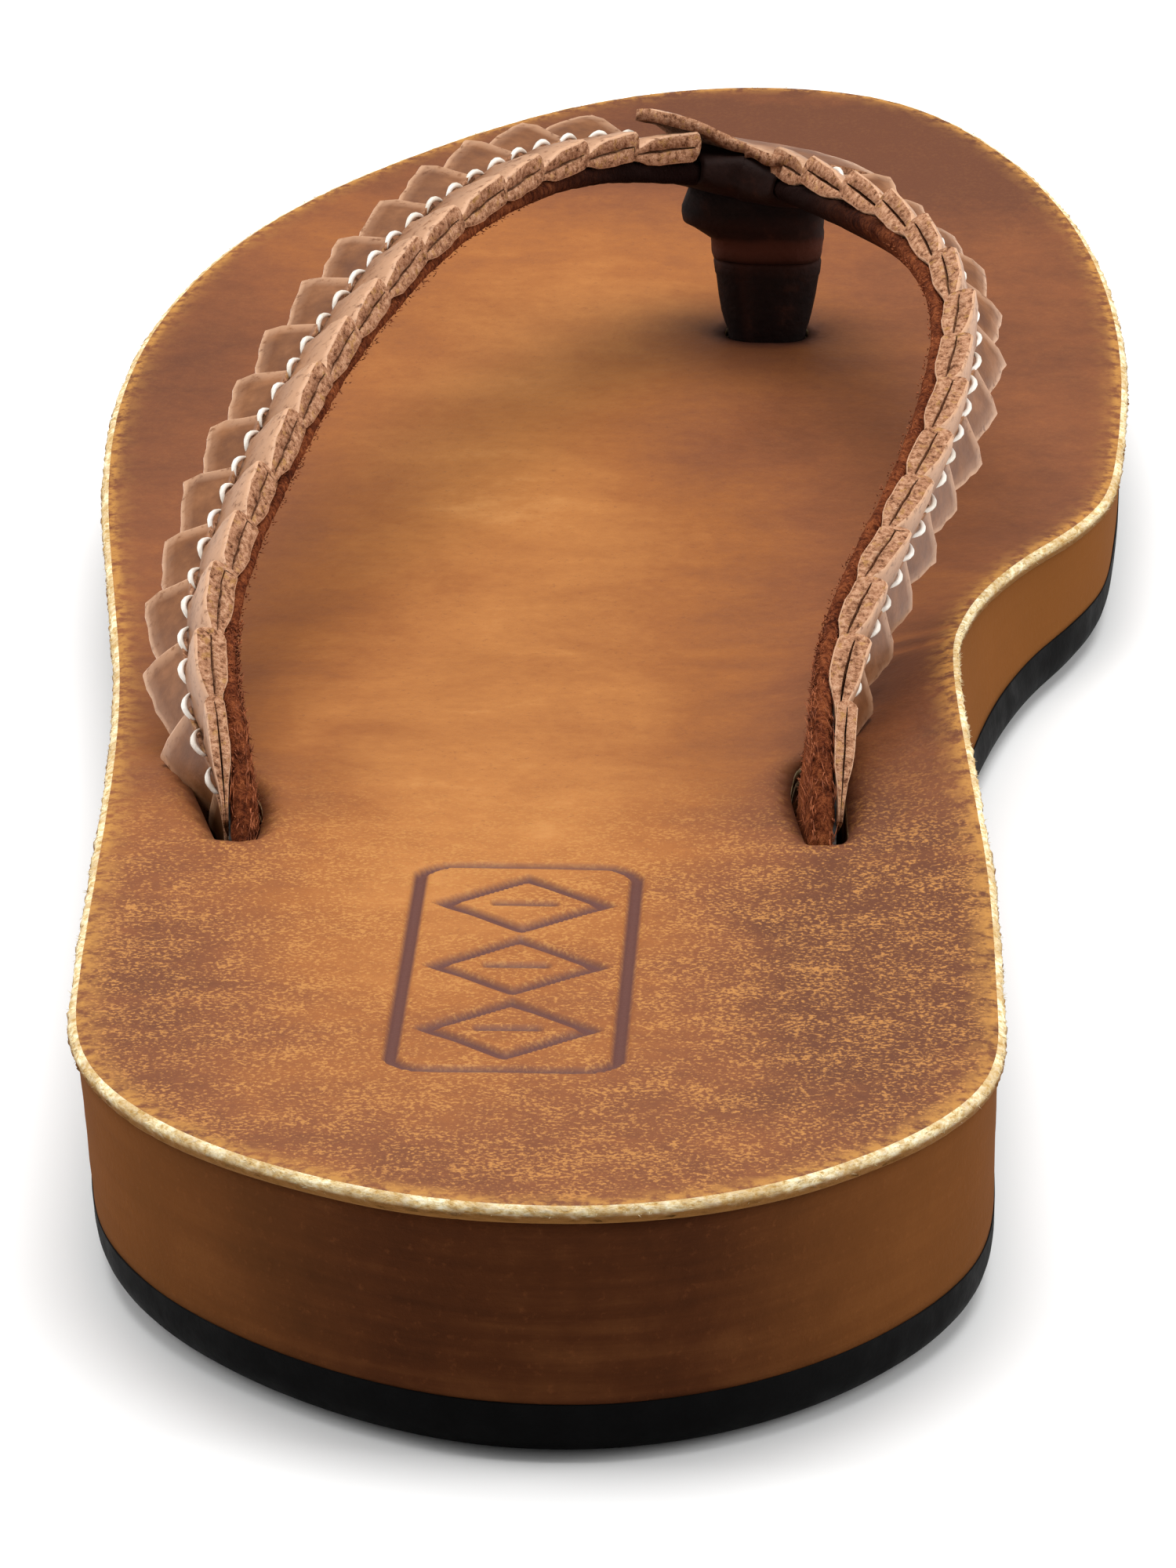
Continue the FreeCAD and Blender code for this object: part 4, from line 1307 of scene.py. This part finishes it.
def toe_strip():
    """The raw-edged strip of braid leather over the top of the toe loop. Its lateral end is free
    and stands proud of the last tab."""
    shape = Shape("rim", "shade")
    places = np.linspace(APEX_AT - 12.0, APEX_AT + 9.0, 44)
    across = np.linspace(-1.0, 1.0, 9)
    tops, bottoms, rims = [], [], []
    for k, s in enumerate(places):
        t = k / (len(places) - 1.0)
        free = float(smooth(s, APEX_AT - 2.0, APEX_AT - 12.0))
        half = 4.9 - 0.7 * free + 0.15 * math.sin(9.0 * t)
        high = 2.15 + 1.95 * free - 0.35 * float(smooth(s, APEX_AT + 2.0, APEX_AT + 9.0))
        thick = 1.05 + 0.12 * math.sin(23.0 * t)
        curl = -0.3 * across ** 2 * (across < 0)
        front = float(smooth(s, APEX_AT - 12.5, APEX_AT - 4.0))
        wide = half * (across * (0.5 + 0.5 * front) + 0.5 - 0.5 * front)
        tops.append(on_line(np.full(9, s), wide, high + curl))
        bottoms.append(on_line(np.full(9, s), wide, high - thick + curl))
        rims.append([1.0, 0.3, 0.0, 0.0, 0.0, 0.0, 0.1, 0.5, 1.0])
    rims[0] = rims[1] = [1.0] * 9
    count = len(places)
    upper, lower = np.vstack(tops), np.vstack(bottoms)
    top = shape.add(uneven(upper, 0.08, 1.6, 14), grid_faces(count, 9, closed=False, flip=True), 0,
                    rim=np.array(rims).ravel())
    bottom = shape.add(lower, grid_faces(count, 9, closed=False), 1, shade=0.5)
    sides = [(top + column + 9 * np.arange(count), column == 0) for column in (0, 8)]
    sides += [(top + 9 * row + np.arange(9), row > 0) for row in (0, count - 1)]
    for line, reverse in sides:
        shape.strip(line, line + (bottom - top), 1, reverse)
    shape.piece(
        "toe_loop_strip", [tab_face_paint(), tab_edge_paint()], ["toe_loop"]
    )


def toe_post():
    """The tapered sleeve, a little barrelled, with a seam down its back."""
    shape = Shape("worn")
    around = 48
    base = float(footbed_height(*POST))
    levels = [
        (8.0, 6.7, 4.3), (base - 2.0, 6.7, 4.3), (base - 0.8, 6.8, 4.4), (base, 7.1, 4.6),
        (base + 0.5, 7.5, 4.75), (base + 1.6, 8.1, 4.9), (base + 3.2, 8.7, 5.0),
        (base + 5.0, 9.15, 5.1), (19.4, 9.35, 5.1), (20.3, 9.5, 5.1), (20.75, 9.3, 5.0),
    ]
    rows, worn = [], []
    angle = np.arange(around) * 2.0 * math.pi / around
    seam = np.exp(-((angle - 1.5 * math.pi + 0.35) / 0.09) ** 2)
    for z, width, depth in levels:
        plan = POST + round_rectangle(width, depth, around, 2.7) * (1.0 - 0.06 * seam)[:, None]
        rows.append(uneven(with_height(plan, z), 0.1, 2.4, 11))
        worn.append(0.15 * seam + 0.3 * float(smooth(z, 20.0, 20.7)))
    shape.tube(rows, worn=np.concatenate(worn))
    shape.piece("toe_post_barrel", [dark_leather_paint()], ["toe_post_sleeve"])


# ----------------------------------------
# Camera, floor and light
# ----------------------------------------

# Solved by least squares against the photo, outside this script.
CAMERA_PLACE = (0.0258, -0.6863, 0.27755)
CAMERA_DOWN = 22.123       # degrees below the level
CAMERA_TURN = 2.229        # degrees to the left of straight ahead
SENSOR = 36.0
LENS = 206.2


def camera():
    made = bpy.data.objects.new("camera", bpy.data.cameras.new("camera"))
    bpy.context.scene.collection.objects.link(made)
    made.data.sensor_width = SENSOR
    made.data.lens = LENS
    made.data.clip_start = 0.05
    made.location = CAMERA_PLACE
    made.rotation_euler = (math.radians(90.0 - CAMERA_DOWN), 0.0, math.radians(CAMERA_TURN))
    bpy.context.scene.camera = made


def floor():
    mesh = bpy.data.meshes.new("floor")
    reach = 3.0
    corners = [(-reach, -reach, 0.0), (reach, -reach, 0.0), (reach, reach, 0.0), (-reach, reach, 0.0)]
    mesh.from_pydata(corners, [], [(0, 1, 2, 3)])
    made = bpy.data.objects.new("floor", mesh)
    bpy.context.scene.collection.objects.link(made)
    p = Paint("pale_floor")
    colour = p.ramp(p.noise(400.0, 2.0), [(0.3, (0.9, 0.9, 0.895)), (0.7, (0.92, 0.92, 0.915))])
    mesh.materials.append(p.finish(colour, 0.9))


def softbox(name, place, target, size, power):
    light = bpy.data.lights.new(name, "AREA")
    light.shape = "RECTANGLE"
    light.size, light.size_y = size
    light.energy = power
    made = bpy.data.objects.new(name, light)
    made.location = place
    aim = Vector(target) - Vector(place)
    made.rotation_euler = aim.to_track_quat("-Z", "Y").to_euler()
    bpy.context.scene.collection.objects.link(made)


def studio():
    world = bpy.data.worlds.new("studio")
    world.use_nodes = True
    background = world.node_tree.nodes["Background"]
    background.inputs["Color"].default_value = (1.0, 1.0, 1.0, 1.0)
    background.inputs["Strength"].default_value = 0.3
    bpy.context.scene.world = world
    softbox("top", (0.0, 0.15, 0.95), (0.0, 0.0, 0.0), (0.9, 0.9), 11.5)
    softbox("left", (-0.85, 0.05, 0.45), (0.0, 0.0, 0.02), (0.5, 0.8), 4.6)
    softbox("right", (0.85, -0.05, 0.4), (0.0, 0.0, 0.02), (0.5, 0.8), 5.0)
    bpy.context.scene.view_settings.view_transform = "Standard"


# ----------------------------------------
# The whole object
# ----------------------------------------

camera()
floor()
studio()

footbed_leather()
edge_fibres()
footbed_backing()
midsole()
outsole()
for side in ("lateral", "medial"):
    strap_lining(side)
    braid_row(side, "inner")
    braid_row(side, "outer")
    stitching(side)
toe_loop()
toe_strip()
toe_post()

tape = webbing_paint()
for node in ("strap_tape_lateral", "strap_tape_medial", "toe_post_tape"):
    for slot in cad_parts[node].material_slots:
        slot.material = tape
